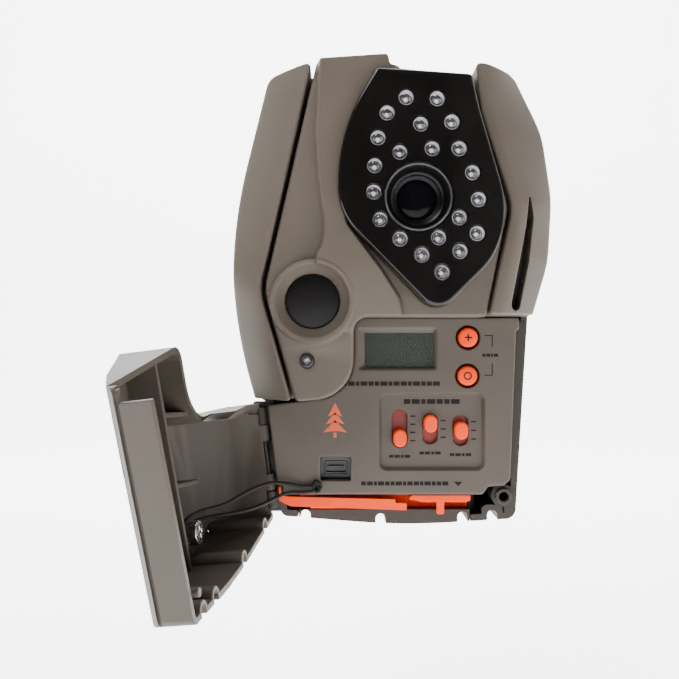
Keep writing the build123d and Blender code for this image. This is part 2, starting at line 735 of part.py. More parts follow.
with BuildPart() as battery_tray:
    with BuildSketch(front(TRAY_Y[0])):
        with Locations((TRAY_MID_X, sum(TRAY_Z) / 2)):
            Rectangle(TRAY_X[1] - TRAY_X[0], TRAY_Z[1] - TRAY_Z[0])
    extrude(amount=TRAY_Y[1] - TRAY_Y[0])
    for start, depth in ((TRAY_Y[0] - 1, 16.4), (TRAY_Y[1] + 1, -16.4)):
        with BuildSketch(front(start)):
            with Locations((TRAY_MID_X, sum(TRAY_Z) / 2)):
                Rectangle(58.8, TRAY_Z[1] - TRAY_Z[0] - 3)
        extrude(amount=depth, mode=Mode.SUBTRACT)
    # finger pull, in front of the rim
    with BuildSketch(front(TRAY_Y[1] - 2)):
        with Locations((-14, -74.8)):
            Rectangle(32, 1.6)
    extrude(amount=REAR_DEPTH + 1 - TRAY_Y[1] + 2)
    with BuildSketch(front(REAR_DEPTH + 0.4)):
        pull = [
            (-41.2, -67.6), (-40.4, -67.6), (-40.4, -70.8), (-37.2, -71.0), (0.4, -72.1),
            (0.4, -73.4), (4.4, -73.5), (4.4, -76.0), (-37, -74.6), (-41.2, -72.6),
        ]  # fmt: skip
        rounded(pull, [0.2, 0.2, 0.4, 0.3, 0.3, 0.3, 0.3, 0.3, 1, 1])
    extrude(amount=2.4)
    # lip that keeps the cells in
    with BuildSketch(front(TRAY_Y[1] - 0.8)):
        with Locations((TRAY_MID_X, -72.7)):
            Rectangle(59.4, 4.4)
    extrude(amount=0.8)
    # lug that the lock's tongue holds
    with BuildSketch(front(TRAY_Y[1] - 0.6)):
        with Locations((0.4, -70)):
            Rectangle(5, 1.4)
        with Locations((0.4, -73)):
            Rectangle(4, 6)
    extrude(amount=0.6)
    with BuildSketch(front(TRAY_Y[1] - 0.6)):
        with Locations((0.4, -70)):
            Rectangle(5, 1.4)
    extrude(amount=4.0)
save(battery_tray, "battery_tray")

with BuildPart() as tray_cap:
    with BuildSketch(front(TRAY_Y[0])):
        rounded(CASE, CASE_R)
        with Locations((TRAY_MID_X, -80.2)):
            Rectangle(TRAY_X[1] - TRAY_X[0], 2 * (80.2 + TRAY_Z[0]), mode=Mode.INTERSECT)
    extrude(amount=REAR_DEPTH - TRAY_Y[0])
    foot_grooves(0, REAR_DEPTH + 1)
save(tray_cap, "tray_cap")

with BuildPart() as aa_cells:
    for depth in CELL_DEPTHS:
        for x in CELL_X:
            with BuildSketch(Plane.XY.offset(CELL_Z)):
                with Locations((x, -depth)):
                    Circle(AA_R)
            extrude(amount=AA_LENGTH - 1)
            with BuildSketch(Plane.XY.offset(CELL_Z + AA_LENGTH - 1)):
                with Locations((x, -depth)):
                    Circle(2.75)
            extrude(amount=1)
save(aa_cells, "aa_cells")

with BuildPart() as tray_springs:
    for depth in CELL_DEPTHS:
        for x in CELL_X:
            with BuildSketch(Plane.XY.offset(TRAY_Z[0] + 1.5)):
                with Locations((x, -depth)):
                    Circle(4.0)
                    Circle(3.0, mode=Mode.SUBTRACT)
            extrude(amount=CELL_Z - TRAY_Z[0] - 1.5)
save(tray_springs, "tray_springs")

with BuildPart() as tray_lock:
    with BuildSketch(front(REAR_DEPTH + 0.5)):
        bar = [(6.2, -70.6), (27.2, -70.6), (27.2, -72.4), (25.6, -73.1), (9.6, -73.1), (6.2, -71.8)]
        rounded(bar, [0.2, 0.2, 0.3, 0.3, 0.5, 0.2])
        with Locations((16.5, -75)):
            RectangleRounded(2.6, 4.8, 0.5)
    extrude(amount=2.2)
    with BuildSketch(front(TRAY_Y[1] + 1)):
        with Locations((13.1, -71.9)):
            Rectangle(15, 1.6)
    extrude(amount=REAR_DEPTH + 1 - TRAY_Y[1] - 1)
save(tray_lock, "tray_lock")

# ---------------------------------------------------------------- door, drawn shut, then swung open
HINGE = Axis(origin=HINGE_BASE, direction=UP)
DOOR_GAP = 0.3
DOOR_FRONT = [
    (-47.9, -37.8), (-14.2, -35.4), (-14.2, -9.4), (46.6, -12.2), (43.9, -79.2), (3, -82),
    (-43.0, -79.3),
]  # fmt: skip
DOOR_FRONT_R = [0.8, 14, 5, 2, 3, 250, 2]
SCREW_SPOT = (-6.5, -70)
SCREW_POST = 21.5
SCREW_HEAD = (14.4, 17.8)
SCREW_HEAD_R = 3.9
SCREW_SHANK_R = 1.7
CROSS_SLOT = (3.6, 0.9, 1.2)
BEVEL = ((20, -82), (37, -68))


def save_open(builder, label):
    """Swing a finished piece of the shut door open, then write it."""
    builder.part = builder.part.rotate(HINGE, -DOOR_OPEN)
    save(builder, label)


def door_block(wall):
    """The solid form of the shut door, or its hollow when moved in by a wall."""
    with BuildPart() as block:
        for height in (-14, 70):
            edge = 88.1 + 0.165 * height
            with BuildSketch(door_slice(height)):
                section = [
                    (0, -6), (0, 12), (14, 24), (35, 34.5), (edge - 22, 21.5), (edge - 3.5, 13.5),
                    (edge, 10.5), (edge, -6),
                ]  # fmt: skip
                rounded(section, [0] * len(section))
                if wall:
                    offset(amount=-wall, kind=Kind.INTERSECTION, mode=Mode.REPLACE)
        loft(ruled=True)
        with BuildSketch(front(REAR_DEPTH + (DOOR_GAP if not wall else -3))):
            rounded(DOOR_FRONT, DOOR_FRONT_R)
            if wall:
                offset(amount=-wall, kind=Kind.INTERSECTION, mode=Mode.REPLACE)
        extrude(amount=45, mode=Mode.INTERSECT)
        (start_depth, start_z), (end_depth, end_z) = BEVEL
        fall = Vector(0, start_z - end_z, start_depth - end_depth).normalized()
        start = Vector(0, -REAR_DEPTH - start_depth, start_z) - fall * wall
        split(bisect_by=Plane(origin=start, z_dir=fall), keep=Keep.BOTTOM)
    return block.part


with BuildPart() as door_shell:
    form = door_block(0)
    add(form)
    add(door_block(DOOR_WALL), mode=Mode.SUBTRACT)
    # the top wall and the curved wall under the hump start further forwards than the rim
    with BuildSketch(front(REAR_DEPTH)):
        with Locations((5.5, -21)):
            Rectangle(75, 32)
    extrude(amount=13.5, mode=Mode.SUBTRACT)
    with BuildSketch(front(REAR_DEPTH)):
        with Locations((45, -10)):
            Rectangle(10, 12.6)
    extrude(amount=9.5, mode=Mode.SUBTRACT)
    # the wall beside the hinge clears the control panel's upper edge
    with BuildSketch(front(REAR_DEPTH)):
        with Locations((-29.6, -38.6)):
            Rectangle(32, 5)
    extrude(amount=PANEL_TOP - REAR_DEPTH + 0.4, mode=Mode.SUBTRACT)
    # ridges over the grooves of the foot, ribs, and the post of the tether screw
    with BuildSketch(front(REAR_DEPTH + DOOR_GAP)):
        for x in FOOT_GROOVES:
            with Locations((x, -82.2 + 0.05 * abs(x - 3))):
                SlotCenterToCenter(4.6, 6.2, rotation=90)
    extrude(amount=20)
    with BuildSketch(front(REAR_DEPTH + 16)):
        with Locations((1.5, -46)):
            Rectangle(1.6, 74)
        with Locations((-8, -31), (-8, -54)):
            Rectangle(19, 1.4, rotation=12)
    extrude(amount=22)
    with BuildSketch(front(REAR_DEPTH + SCREW_POST)):
        with Locations(SCREW_SPOT):
            Circle(3.2)
    extrude(amount=16)
    # free-side flange with the latch pin
    with BuildSketch(front(REAR_DEPTH + 5)):
        with Locations((LATCH[0], LATCH[1] - 2)):
            Rectangle(6.4, 12)
    extrude(amount=12)
    add(form, mode=Mode.INTERSECT)
    with BuildSketch(front(REAR_DEPTH - 1)):
        with Locations(LATCH):
            Circle(1.4)
    extrude(amount=8)
    foot_grooves(REAR_DEPTH - 1, 60)
    # grooves down the free side and down the hinge side of the front
    with BuildSketch(front(REAR_DEPTH + 9.4)):
        rounded(DOOR_FRONT, DOOR_FRONT_R)
        offset(amount=-0.8, kind=Kind.INTERSECTION, mode=Mode.SUBTRACT)
        with Locations((-30, -45)):
            Rectangle(146, 90, mode=Mode.SUBTRACT)
    extrude(amount=0.9, mode=Mode.SUBTRACT)
    with BuildSketch(door_slice(-14)):
        with Locations((14.4, 24.6)):
            Rectangle(1.4, 2.2)
    extrude(amount=-90, mode=Mode.SUBTRACT)
    # knuckles, their pin hole, and room for the housing's knuckles
    for low in (2.7, 32.7):
        with BuildSketch(hinge_slice(low)):
            Circle(KNUCKLE_R + 0.3)
        extrude(amount=6.6, mode=Mode.SUBTRACT)
    for low in (9.3, 27.0):
        with BuildSketch(hinge_slice(low)):
            Circle(KNUCKLE_R)
            with Locations((1, -1.6)):
                Rectangle(2, 3.2)
        extrude(amount=5.7)
    with BuildSketch(hinge_slice(1)):
        Circle(PIN_R + 0.06)
    extrude(amount=42, mode=Mode.SUBTRACT)
save_open(door_shell, "door_shell")

with BuildPart() as tether_screw:
    with BuildSketch(front(REAR_DEPTH + SCREW_HEAD[0])):
        with Locations(SCREW_SPOT):
            Circle(SCREW_HEAD_R)
    extrude(amount=SCREW_HEAD[1] - SCREW_HEAD[0])
    with BuildSketch(front(REAR_DEPTH + SCREW_HEAD[1])):
        with Locations(SCREW_SPOT):
            Circle(SCREW_SHANK_R)
    extrude(amount=SCREW_POST - SCREW_HEAD[1])
    with BuildSketch(front(REAR_DEPTH + SCREW_HEAD[0])):
        with Locations(SCREW_SPOT):
            Rectangle(CROSS_SLOT[0], CROSS_SLOT[1])
            Rectangle(CROSS_SLOT[1], CROSS_SLOT[0])
    extrude(amount=CROSS_SLOT[2], mode=Mode.SUBTRACT)
save_open(tether_screw, "tether_screw")

# ---------------------------------------------------------------- tether
TETHER_R = 0.65
KNOT = (-27.6, -67.2)
TETHER = [
    (-28.6, -47.5, -66.8), (-32.5, -47.8, -67.2), (-36.8, -48.4, -66.0), (-42.6, -50.2, -65.0),
    (-47.8, -54.0, -65.9), (-52.4, -59.6, -67.6), (-58.5, -66.6, -70.4), (-64.8, -73.4, -70.6),
    (-69.8, -77.9, -73.0), (-70.0, -78.2, -80.2), (-70.0, -72.2, -81.0), (-69.4, -70.9, -75.6),
    (-64.2, -69.0, -73.8), (-58.2, -66.0, -73.4), (-51.8, -60.4, -73.4), (-46.4, -54.8, -72.2),
    (-42.2, -50.8, -70.6), (-37.8, -48.4, -68.8), (-33.0, -47.6, -69.2), (-28.6, -47.5, -68.6),
]  # fmt: skip


def bend_radii(route):
    """The largest arc that each corner of a cord's route leaves room for."""
    spots = [Vector(*point) for point in route]
    radii = []
    for before, here, after in zip(spots, spots[1:], spots[2:]):
        run_in = here - before
        run_out = after - here
        turn = radians(run_in.get_angle(run_out))
        radii.append(0.45 * min(run_in.length, run_out.length) / tan(turn / 2))
    return radii


with BuildPart() as tether:
    with BuildLine() as tether_route:
        FilletPolyline(*TETHER, radius=bend_radii(TETHER))
    tether_line = tether_route.wires()[0]
    with BuildSketch(Plane(origin=tether_line @ 0, z_dir=tether_line % 0)):
        Circle(TETHER_R)
    sweep(path=tether_line)
save(tether, "tether")

with BuildPart() as tether_knot:
    with BuildSketch(front(PANEL_TOP)):
        with Locations(KNOT):
            RectangleRounded(3.8, 5.6, 1.6)
    extrude(amount=3.2)
    fillet(tether_knot.faces().sort_by(Axis.Y)[0].edges(), 1.2)
save(tether_knot, "tether_knot")
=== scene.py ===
"""Looks of the trail camera: moulded skins, lamps, lens, controls and tether round the CAD frame.

Sizes in the tables are millimetres as X, depth in front of the flat back, and Z; build() turns
them into the frame's metres, in which the camera looks along -Y.
"""

from math import ceil, cos, pi, radians, sin, tan

import bmesh
import bpy
import numpy as np
from mathutils import Matrix, Vector, geometry
from mathutils.bvhtree import BVHTree


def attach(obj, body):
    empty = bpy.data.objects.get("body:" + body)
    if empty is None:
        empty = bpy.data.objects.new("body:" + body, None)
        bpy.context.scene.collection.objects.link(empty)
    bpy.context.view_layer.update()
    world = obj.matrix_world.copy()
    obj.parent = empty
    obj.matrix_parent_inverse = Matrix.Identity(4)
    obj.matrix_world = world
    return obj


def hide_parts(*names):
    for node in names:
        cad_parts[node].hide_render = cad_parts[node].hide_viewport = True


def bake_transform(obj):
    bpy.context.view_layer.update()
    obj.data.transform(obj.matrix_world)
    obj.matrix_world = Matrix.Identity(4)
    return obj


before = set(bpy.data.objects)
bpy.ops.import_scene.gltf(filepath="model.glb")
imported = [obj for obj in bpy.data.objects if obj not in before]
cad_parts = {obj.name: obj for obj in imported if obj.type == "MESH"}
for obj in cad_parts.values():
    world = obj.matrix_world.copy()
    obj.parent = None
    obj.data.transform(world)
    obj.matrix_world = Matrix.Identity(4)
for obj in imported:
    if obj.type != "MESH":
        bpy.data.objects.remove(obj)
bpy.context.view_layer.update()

MM = 0.001

# depths in front of the flat back
PLATE_BASE = 42.05
PLATE_TOP = 46.0
SKIN_FLOOR = PLATE_TOP + 0.05
COVER_TOP = 62.0
BLADE_RISE = 4.0
RING_RISE = 2.8
WINDOW_TOP = 70.0
PANEL_TOP = 46.0
PANEL_FLOOR = 42.3
PRESETS_FLOOR = 44.1
CAP_TOP = 47.0
INK_LIFT = 0.05
INK_DEPTH = 0.12

LENS = (6.4, 31.9)
LENS_HOLE_R = 11.4
PIR = (-28.8, -2.0)
PIR_HOLE_R = 9.4
PIR_CONE_R = 12.4
PIR_RING_R = 14.9
INDICATOR = (-30.6, -22.3)
INDICATOR_HOLE_R = 2.4
LCD = (1.75, -18.7)
PORT = (-21.0, -61.0)
PRESETS = (13.3, -47.8)
BUTTONS = {"plus_button": (26.1, -14.3), "ok_button": (25.9, -27.9)}
BUTTON_HOLE_R = 4.35
# each slide switch: its slot's top and bottom, how far its knob goes down and up, its printed ticks
SWITCHES = {
    "zone_knob": {"x": 1.9, "slot": (-40.0, -53.6), "travel": (-0.3, 6.9), "ticks": 4},
    "delay_knob": {"x": 12.8, "slot": (-41.6, -52.4), "travel": (-4.3, 0.1), "ticks": 3},
    "mode_knob": {"x": 23.7, "slot": (-42.0, -53.0), "travel": (-2.4, 2.2), "ticks": 3},
}
SLOT_W = 5.4
LEDS = [
    (2.4, 64.9), (12.6, 64.5), (-3.9, 59.8), (7.2, 56.1), (17.5, 56.8), (-6.9, 51.6), (0.3, 46.8),
    (11.0, 48.0), (19.9, 48.0), (-8.0, 42.4), (24.3, 40.1), (-8.3, 33.7), (26.3, 31.2),
    (-6.2, 24.6), (20.0, 25.2), (25.9, 20.0), (0.4, 18.2), (13.1, 18.6), (7.6, 12.9),
    (20.2, 14.1), (14.3, 7.1),
]  # fmt: skip
LED_R = 2.5

# outlines in X and Z, each with the radii of its corners
COVER = [
    (-27.3, 79.2), (-3.4, 80.8), (-2.6, 77.2), (25.6, 75.4), (27.2, 63), (37.9, 30.3),
    (30.2, -7.3), (-14.8, -7.3), (-14.8, -34.4), (-34.6, -36.2), (-45.2, 2),
]  # fmt: skip
COVER_R = [2, 1.2, 1, 1.5, 20, 15, 1, 5, 14, 2, 20]
PLATE = [
    (-44.2, 76.4), (-3.6, 80.6), (-2.8, 77.0), (40.8, 75.2), (55.0, 43), (54.0, 22), (48.0, -6.8),
    (-15.1, -6.8), (-15.1, -34.2), (-34.6, -36), (-49.2, -35.6), (-58.1, 5),
]  # fmt: skip
PLATE_R = [4, 1, 1, 5, 58, 60, 1, 5, 14, 2, 1, 60]
WINDOW = [
    (-7.2, 74.8), (24.1, 72.8), (26.6, 61.5), (36.2, 29), (32.3, 12.5), (13, -6.9), (-20, 27),
    (-19.8, 46), (-15.3, 61.5),
]  # fmt: skip
WINDOW_R = [1.5, 1.5, 90, 34, 25, 7, 22, 58, 52]
BLADE = [
    (-26.2, 86), (0, 86), (0, 40), (-18.2, 36), (-17.0, 24.2), (-5.4, 8.8), (0.8, -1), (3.0, -12),
    (-22, -12), (-29, 0), (-27.8, 13.6), (-25.4, 18), (-25.1, 26), (-27.0, 39), (-27.9, 54),
]  # fmt: skip
BLADE_R = [1, 1, 1, 6, 8, 10, 6, 1, 1, 4, 4, 5, 12, 20, 20]
PANEL = [
    (44.3, -7.2), (44.3, -11.2), (43.3, -12), (41.2, -65), (38.8, -67.0), (33.4, -67.4),
    (31.4, -70.2), (-39.6, -70.2), (-39.8, -67.2), (-41.8, -66.6), (-45.2, -38.4), (-34.6, -37),
    (-14.6, -35), (-14.6, -7.2),
]  # fmt: skip
PANEL_R = [0.5, 0.4, 0.4, 2, 1, 1, 1, 0.6, 0.6, 0.8, 0.8, 2, 14, 4.5]
# each side shell: its outer line down the silhouette, then its inner line back up
LEFT_OUTER = [(-28.9, 79.0), (-44.6, 76.5), (-61.6, 8), (-49.4, -35.6)]
LEFT_INNER = [(-36, -35.8), (-46.7, 2.2)]
LEFT_R = [1.5, 4, 150, 1, 1, 20]
RIGHT_OUTER = [(26.6, 79.0), (41.6, 77.4), (51.6, 57), (55.0, 34), (53.8, 12), (48.4, -6.4)]
RIGHT_INNER = [(31.2, -6.6), (38.9, 30.3), (28.2, 62.8)]
RIGHT_R = [1.5, 5, 45, 60, 50, 1, 1, 15, 20]
SHELL_SLOT = [
    (45.2, 35.5), (46.9, 27), (45.4, 12), (42.2, -5), (38.6, -5), (41.8, 12), (44.0, 24),
]  # fmt: skip
SHELL_SLOT_R = [0.3, 2, 2, 2, 2, 2, 2]
# dark strips that close the sight lines beside the hinge and along the case's rim, in the housing's
# darkened plastic, which is painted shade
HINGE_RIB = [(-51.2, -37.5), (-43.5, -37.5), (-38.8, -77.5), (-46.2, -77.5)]
HINGE_RIB_R = [0.8, 0.8, 0.8, 0.8]
RIM_STEP = [(44.6, -8.5), (43.6, -12.2), (41.5, -64.5), (44.2, -66.2), (46.1, -36.8), (48.0, -8.5)]
RIM_STEP_R = [0.2, 0.4, 0.8, 0.8, 8, 0.3]

# the cord's line from the knot, round the screw in the door and back: X, depth, Z
TETHER_D = 1.3
TETHER = [
    (-28.6, 47.5, -66.8), (-32.5, 47.8, -67.2), (-36.8, 48.4, -66.0), (-42.6, 50.2, -65.0),
    (-47.8, 54.0, -65.9), (-52.4, 59.6, -67.6), (-58.5, 66.6, -70.4), (-64.8, 73.4, -70.6),
    (-69.8, 77.9, -73.0), (-70.0, 78.2, -80.2), (-70.0, 72.2, -81.0), (-69.4, 70.9, -75.6),
    (-64.2, 69.0, -73.8), (-58.2, 66.0, -73.4), (-51.8, 60.4, -73.4), (-46.4, 54.8, -72.2),
    (-42.2, 50.8, -70.6), (-37.8, 48.4, -68.8), (-33.0, 47.6, -69.2), (-28.6, 47.5, -68.6),
]  # fmt: skip
KNOT = (-27.6, 47.6, -67.2)
KNOT_LOOPS = 3
KNOT_STRAND_R = 0.6


# ---------------------------------------------------------------- materials
CLOUD_SCALE = 55.0
CLOUD_RAMP = (0.3, 0.72)
COAT_ROUGHNESS = 0.06
GRAIN_HEIGHT = 0.00006


def link(tree, source, output, target, socket):
    tree.links.new(source.outputs[output], target.inputs[socket])


def node(tree, kind, **values):
    """Add a shader node and set its sockets by name."""
    made = tree.nodes.new(kind)
    for name, value in values.items():
        made.inputs[name.replace("_", " ")].default_value = value
    return made


def plain(name, **values):
    """A material with constant values on its shader's own sockets."""
    made = bpy.data.materials.new(name)
    made.use_nodes = True
    shader = made.node_tree.nodes["Principled BSDF"]
    for socket, value in values.items():
        shader.inputs[socket.replace("_", " ")].default_value = value
    return made


def finish_of(name, colour, roughness, metallic=0.0, coat=0.0, grain=0.0, grain_size=0.35,
              mottle=0.06, clear=0.0, ior=1.48):
    """A surface with its own fine grain, faint mottling and uneven gloss."""
    made = plain(name, Metallic=metallic, IOR=ior, Coat_Weight=coat,
                 Coat_Roughness=COAT_ROUGHNESS, Transmission_Weight=clear)
    tree = made.node_tree
    shader = tree.nodes["Principled BSDF"]
    place = tree.nodes.new("ShaderNodeTexCoord")
    cloud = node(tree, "ShaderNodeTexNoise", Scale=CLOUD_SCALE, Detail=4.0, Roughness=0.6)
    link(tree, place, "Object", cloud, "Vector")
    tint = tree.nodes.new("ShaderNodeValToRGB")
    shares = (1 - mottle, 1 + mottle)
    for element, position, share in zip(tint.color_ramp.elements, CLOUD_RAMP, shares):
        element.position = position
        element.color = (*(min(1.0, channel * share) for channel in colour), 1)
    link(tree, cloud, "Fac", tint, "Fac")
    link(tree, tint, "Color", shader, "Base Color")
    gloss = node(tree, "ShaderNodeMapRange", To_Min=max(0.02, roughness - 0.05),
                 To_Max=min(1.0, roughness + 0.06))
    link(tree, cloud, "Fac", gloss, "Value")
    link(tree, gloss, "Result", shader, "Roughness")
    if grain:
        pits = node(tree, "ShaderNodeTexNoise", Scale=1 / (grain_size * MM), Detail=3.0,
                    Roughness=0.55)
        link(tree, place, "Object", pits, "Vector")
        bump = node(tree, "ShaderNodeBump", Strength=grain, Distance=GRAIN_HEIGHT)
        link(tree, pits, "Fac", bump, "Height")
        link(tree, bump, "Normal", shader, "Normal")
    return made


CASE = finish_of("case_plastic", (0.076, 0.061, 0.047), 0.52, grain=0.35, ior=1.38)
SHELL = finish_of("shell_plastic", (0.08, 0.065, 0.051), 0.52, grain=0.35, ior=1.36)
# the panel is the case's plastic, drawn darker as painted shade where it sits recessed under the
# cover
PANEL_SHADED_PLASTIC = finish_of("panel_plastic", (0.066, 0.054, 0.043), 0.54, grain=0.4, ior=1.36)
DOOR = finish_of("door_plastic", (0.062, 0.05, 0.04), 0.52, grain=0.3, ior=1.36)
GLOSS_BLACK = finish_of("window_plastic", (0.005, 0.004, 0.004), 0.1, mottle=0.2, ior=1.4)
DARK = finish_of("dark_plastic", (0.018, 0.016, 0.016), 0.32, grain=0.1)
LENS_BLACK = finish_of("lens_black", (0.003, 0.003, 0.0035), 0.3, ior=1.25)
PIR_FILM = finish_of("pir_film", (0.004, 0.0032, 0.003), 0.4, ior=1.3)
ORANGE = finish_of("orange_plastic", (0.8, 0.05, 0.001), 0.5, grain=0.08, mottle=0.04, ior=1.25)
# a darkened copy of the orange: painted shade on the skirts down in the slots
ORANGE_SHADED = finish_of("orange_shadowed", (0.16, 0.009, 0.003), 0.5, mottle=0.05)
EPOXY = finish_of("clear_epoxy", (0.96, 0.97, 1.0), 0.04, clear=1.0, mottle=0.0, ior=1.53)
GLASS = finish_of("lens_glass", (0.004, 0.004, 0.006), 0.08, mottle=0.0, ior=1.2)
CUP = finish_of("lamp_cup", (0.85, 0.85, 0.87), 0.38, metallic=0.35, mottle=0.1)
DIE = finish_of("lamp_die", (0.05, 0.045, 0.05), 0.3)
STEEL = finish_of("steel", (0.62, 0.61, 0.59), 0.2, metallic=1.0, grain=0.2, mottle=0.14)
BRASS = finish_of("brass", (0.72, 0.55, 0.27), 0.3, metallic=1.0, mottle=0.1)
TIN = finish_of("tin_can", (0.66, 0.66, 0.64), 0.3, metallic=1.0)
SCREEN = finish_of("lcd_body", (0.04, 0.07, 0.042), 0.35, mottle=0.12, ior=1.3)
SCREEN_GLASS = finish_of("lcd_glass", (0.75, 0.82, 0.76), 0.04, clear=0.95, mottle=0.0)
BOARD = finish_of("board", (0.02, 0.1, 0.035), 0.35, coat=0.3)
CORD = finish_of("wire_jacket", (0.01, 0.0085, 0.0075), 0.6, grain=0.8, grain_size=0.5, ior=1.25)
WRAP = finish_of("cell_wrap", (0.03, 0.03, 0.034), 0.25, coat=0.4)
FILM = finish_of("ribbon_jacket", (0.6, 0.6, 0.57), 0.4)
PIN = finish_of("blackened_steel", (0.03, 0.028, 0.027), 0.45, metallic=0.6, grain=0.2)
# the housing is the case's plastic drawn much darker, as painted shade on its recessed rim and foot
HOUSING_SHADED_PLASTIC = finish_of("housing_plastic_shaded", (0.03, 0.025, 0.0205), 0.55, grain=0.35, ior=1.35)
# a dark red ring laid in the gap round each button as painted shade
BUTTON_GAP_SHADE = finish_of("button_gap_shade", (0.05, 0.006, 0.004), 0.6, ior=1.2)
LENS_RIM = finish_of("lens_rim", (0.03, 0.03, 0.032), 0.25)
INK = finish_of("printed_ink", (0.01, 0.009, 0.008), 0.6, ior=1.2)
INK_ORANGE = finish_of("printed_orange", (0.55, 0.07, 0.015), 0.5)


# ---------------------------------------------------------------- mesh building
SMOOTH_BELOW = 38


def show(name, data):
    """Put new data into the scene as an object."""
    made = bpy.data.objects.new(name, data)
    bpy.context.scene.collection.objects.link(made)
    return made


def build(name, spots, faces, finish, body):
    """Make a piece from spots given as X, depth and Z in millimetres; hang it on its body."""
    mesh = bpy.data.meshes.new(name)
    mesh.from_pydata([(x * MM, -depth * MM, z * MM) for x, depth, z in spots], [], faces)
    work = bmesh.new()
    work.from_mesh(mesh)
    bmesh.ops.remove_doubles(work, verts=work.verts, dist=1e-7)
    bmesh.ops.recalc_face_normals(work, faces=work.faces)
    work.to_mesh(mesh)
    work.free()
    mesh.shade_smooth()
    mesh.set_sharp_from_angle(angle=radians(SMOOTH_BELOW))
    mesh.materials.append(finish)
    piece = show(name, mesh)
    if body:
        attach(piece, body)
    return piece


def rounded(points, radii, step=0.5):
    """Sample a closed outline whose corners are rounded, each by its own radius."""
    sampled = []
    count = len(points)
    for i, radius in enumerate(radii):
        here = Vector(points[i])
        back = (Vector(points[i - 1]) - here).normalized()
        ahead = (Vector(points[(i + 1) % count]) - here).normalized()
        half = back.angle(ahead) / 2
        centre = here + (back + ahead).normalized() * radius / sin(half)
        first = here + back * radius / tan(half) - centre
        last = here + ahead * radius / tan(half) - centre
        turn = first.angle_signed(last)
        pieces = max(2, ceil(abs(turn) * radius / step))
        for k in range(pieces + 1):
            sampled.append(tuple(centre + Matrix.Rotation(-turn * k / pieces, 2) @ first))
    return dense(sampled)


def dense(points, step=1.6):
    """Split the long runs of a closed outline."""
    result = []
    for here, ahead in zip(points, points[1:] + points[:1]):
        run = np.subtract(ahead, here)
        pieces = max(1, ceil(np.hypot(*run) / step))
        result += [tuple(np.add(here, run * k / pieces)) for k in range(pieces)]
    return result


def circle(centre, radius, count):
    """A closed round outline."""
    x, z = centre
    return [(x + radius * cos(2 * pi * k / count), z + radius * sin(2 * pi * k / count))
            for k in range(count)]


def box_loop(centre, width, height, radius):
    """A rounded rectangle."""
    x, z = centre
    w, h = width / 2, height / 2
    corners = [(x - w, z - h), (x + w, z - h), (x + w, z + h), (x - w, z + h)]
    return rounded(corners, [radius] * 4, 0.3)


def distance(spots, line, closed=True):
    """How far each spot is from a line of points."""
    start = np.asarray(line, float)
    end = np.roll(start, -1, axis=0) if closed else start[1:]
    start = start if closed else start[:-1]
    run = end - start
    length = np.maximum((run ** 2).sum(1), 1e-12)
    best = np.full(len(spots), np.inf)
    for a, d, l in zip(start, run, length):
        offset = spots - a
        share = np.clip(offset @ d / l, 0, 1)
        best = np.minimum(best, np.hypot(*(offset - share[:, None] * d).T))
    return best


def inside(spots, loop):
    """Which spots lie inside a closed line."""
    result = np.zeros(len(spots), bool)
    x, z = spots.T
    for (x0, z0), (x1, z1) in zip(loop, loop[1:] + loop[:1]):
        if z0 != z1:
            crosses = (z0 > z) != (z1 > z)
            result ^= crosses & (x < (x1 - x0) * (z - z0) / (z1 - z0) + x0)
    return result


def smooth(value):
    """Ease from 0 to 1."""
    value = np.clip(value, 0, 1)
    return value * value * (3 - 2 * value)


def along(loop, offsets):
    """Rows of points that run beside a line, so that a crease there is meshed cleanly."""
    line = np.asarray(loop)
    tangent = np.roll(line, -1, axis=0) - np.roll(line, 1, axis=0)
    normal = np.stack([-tangent[:, 1], tangent[:, 0]], 1)
    normal /= np.maximum(np.linalg.norm(normal, axis=1), 1e-9)[:, None]
    return np.concatenate([line + normal * offset for offset in offsets])


def thinned(spots, cell):
    """Keep one spot of each small cell."""
    first = np.unique(np.round(spots / cell).astype(int), axis=0, return_index=True)[1]
    return spots[np.sort(first)]


def clearance(spots, loops, radii):
    """How far each spot is from the nearest of the lines, less that line's rounding."""
    return np.min([distance(spots, loop) - radius for loop, radius in zip(loops, radii)], axis=0)


def within(spots, outline, holes):
    """Which spots lie inside the outline and in none of the holes."""
    keep = inside(spots, outline)
    for hole in holes:
        keep &= ~inside(spots, hole)
    return keep


# how the points of a skin are spaced
LATTICE_GAP = 1.0
ROW_STEP = 0.7
ROW_SPACING = 0.3
ROW_GAP = 0.5
ROW_CELL = 0.22
EDGE_GAP = 0.04
CELL = 0.12


def skin_spots(loops, rounding, grid, creases):
    """Points to mesh a skin from: rows beside its edges and creases, and a lattice between."""
    extra = []
    for loop, radius in zip(loops, rounding):
        for inset in (0.13 * radius, 0.5 * radius, radius, radius + 0.6):
            ring = along(loop, (-inset, inset))
            # tight corners fold a row over itself; those points are left out
            extra.append(ring[distance(ring, loop) > 0.93 * inset])
    low = np.min(loops[0], axis=0)
    high = np.max(loops[0], axis=0)
    x, z = np.meshgrid(np.arange(low[0], high[0], grid), np.arange(low[1], high[1], grid))
    lattice = np.stack([x.ravel(), z.ravel()], 1)
    lattice = lattice[clearance(lattice, loops, rounding) > LATTICE_GAP]
    for crease, reach in creases:
        rows = dense(list(crease), ROW_STEP)
        beside = along(rows, np.arange(-reach, reach + 0.1, ROW_SPACING))
        beside = beside[clearance(beside, loops, rounding) > ROW_GAP]
        extra.append(thinned(beside, ROW_CELL))
        lattice = lattice[distance(lattice, rows) > reach + ROW_SPACING]
    extra = np.concatenate(extra)
    extra = extra[clearance(extra, loops, [0.0] * len(loops)) > EDGE_GAP]
    return thinned(np.concatenate([lattice, extra]), CELL)


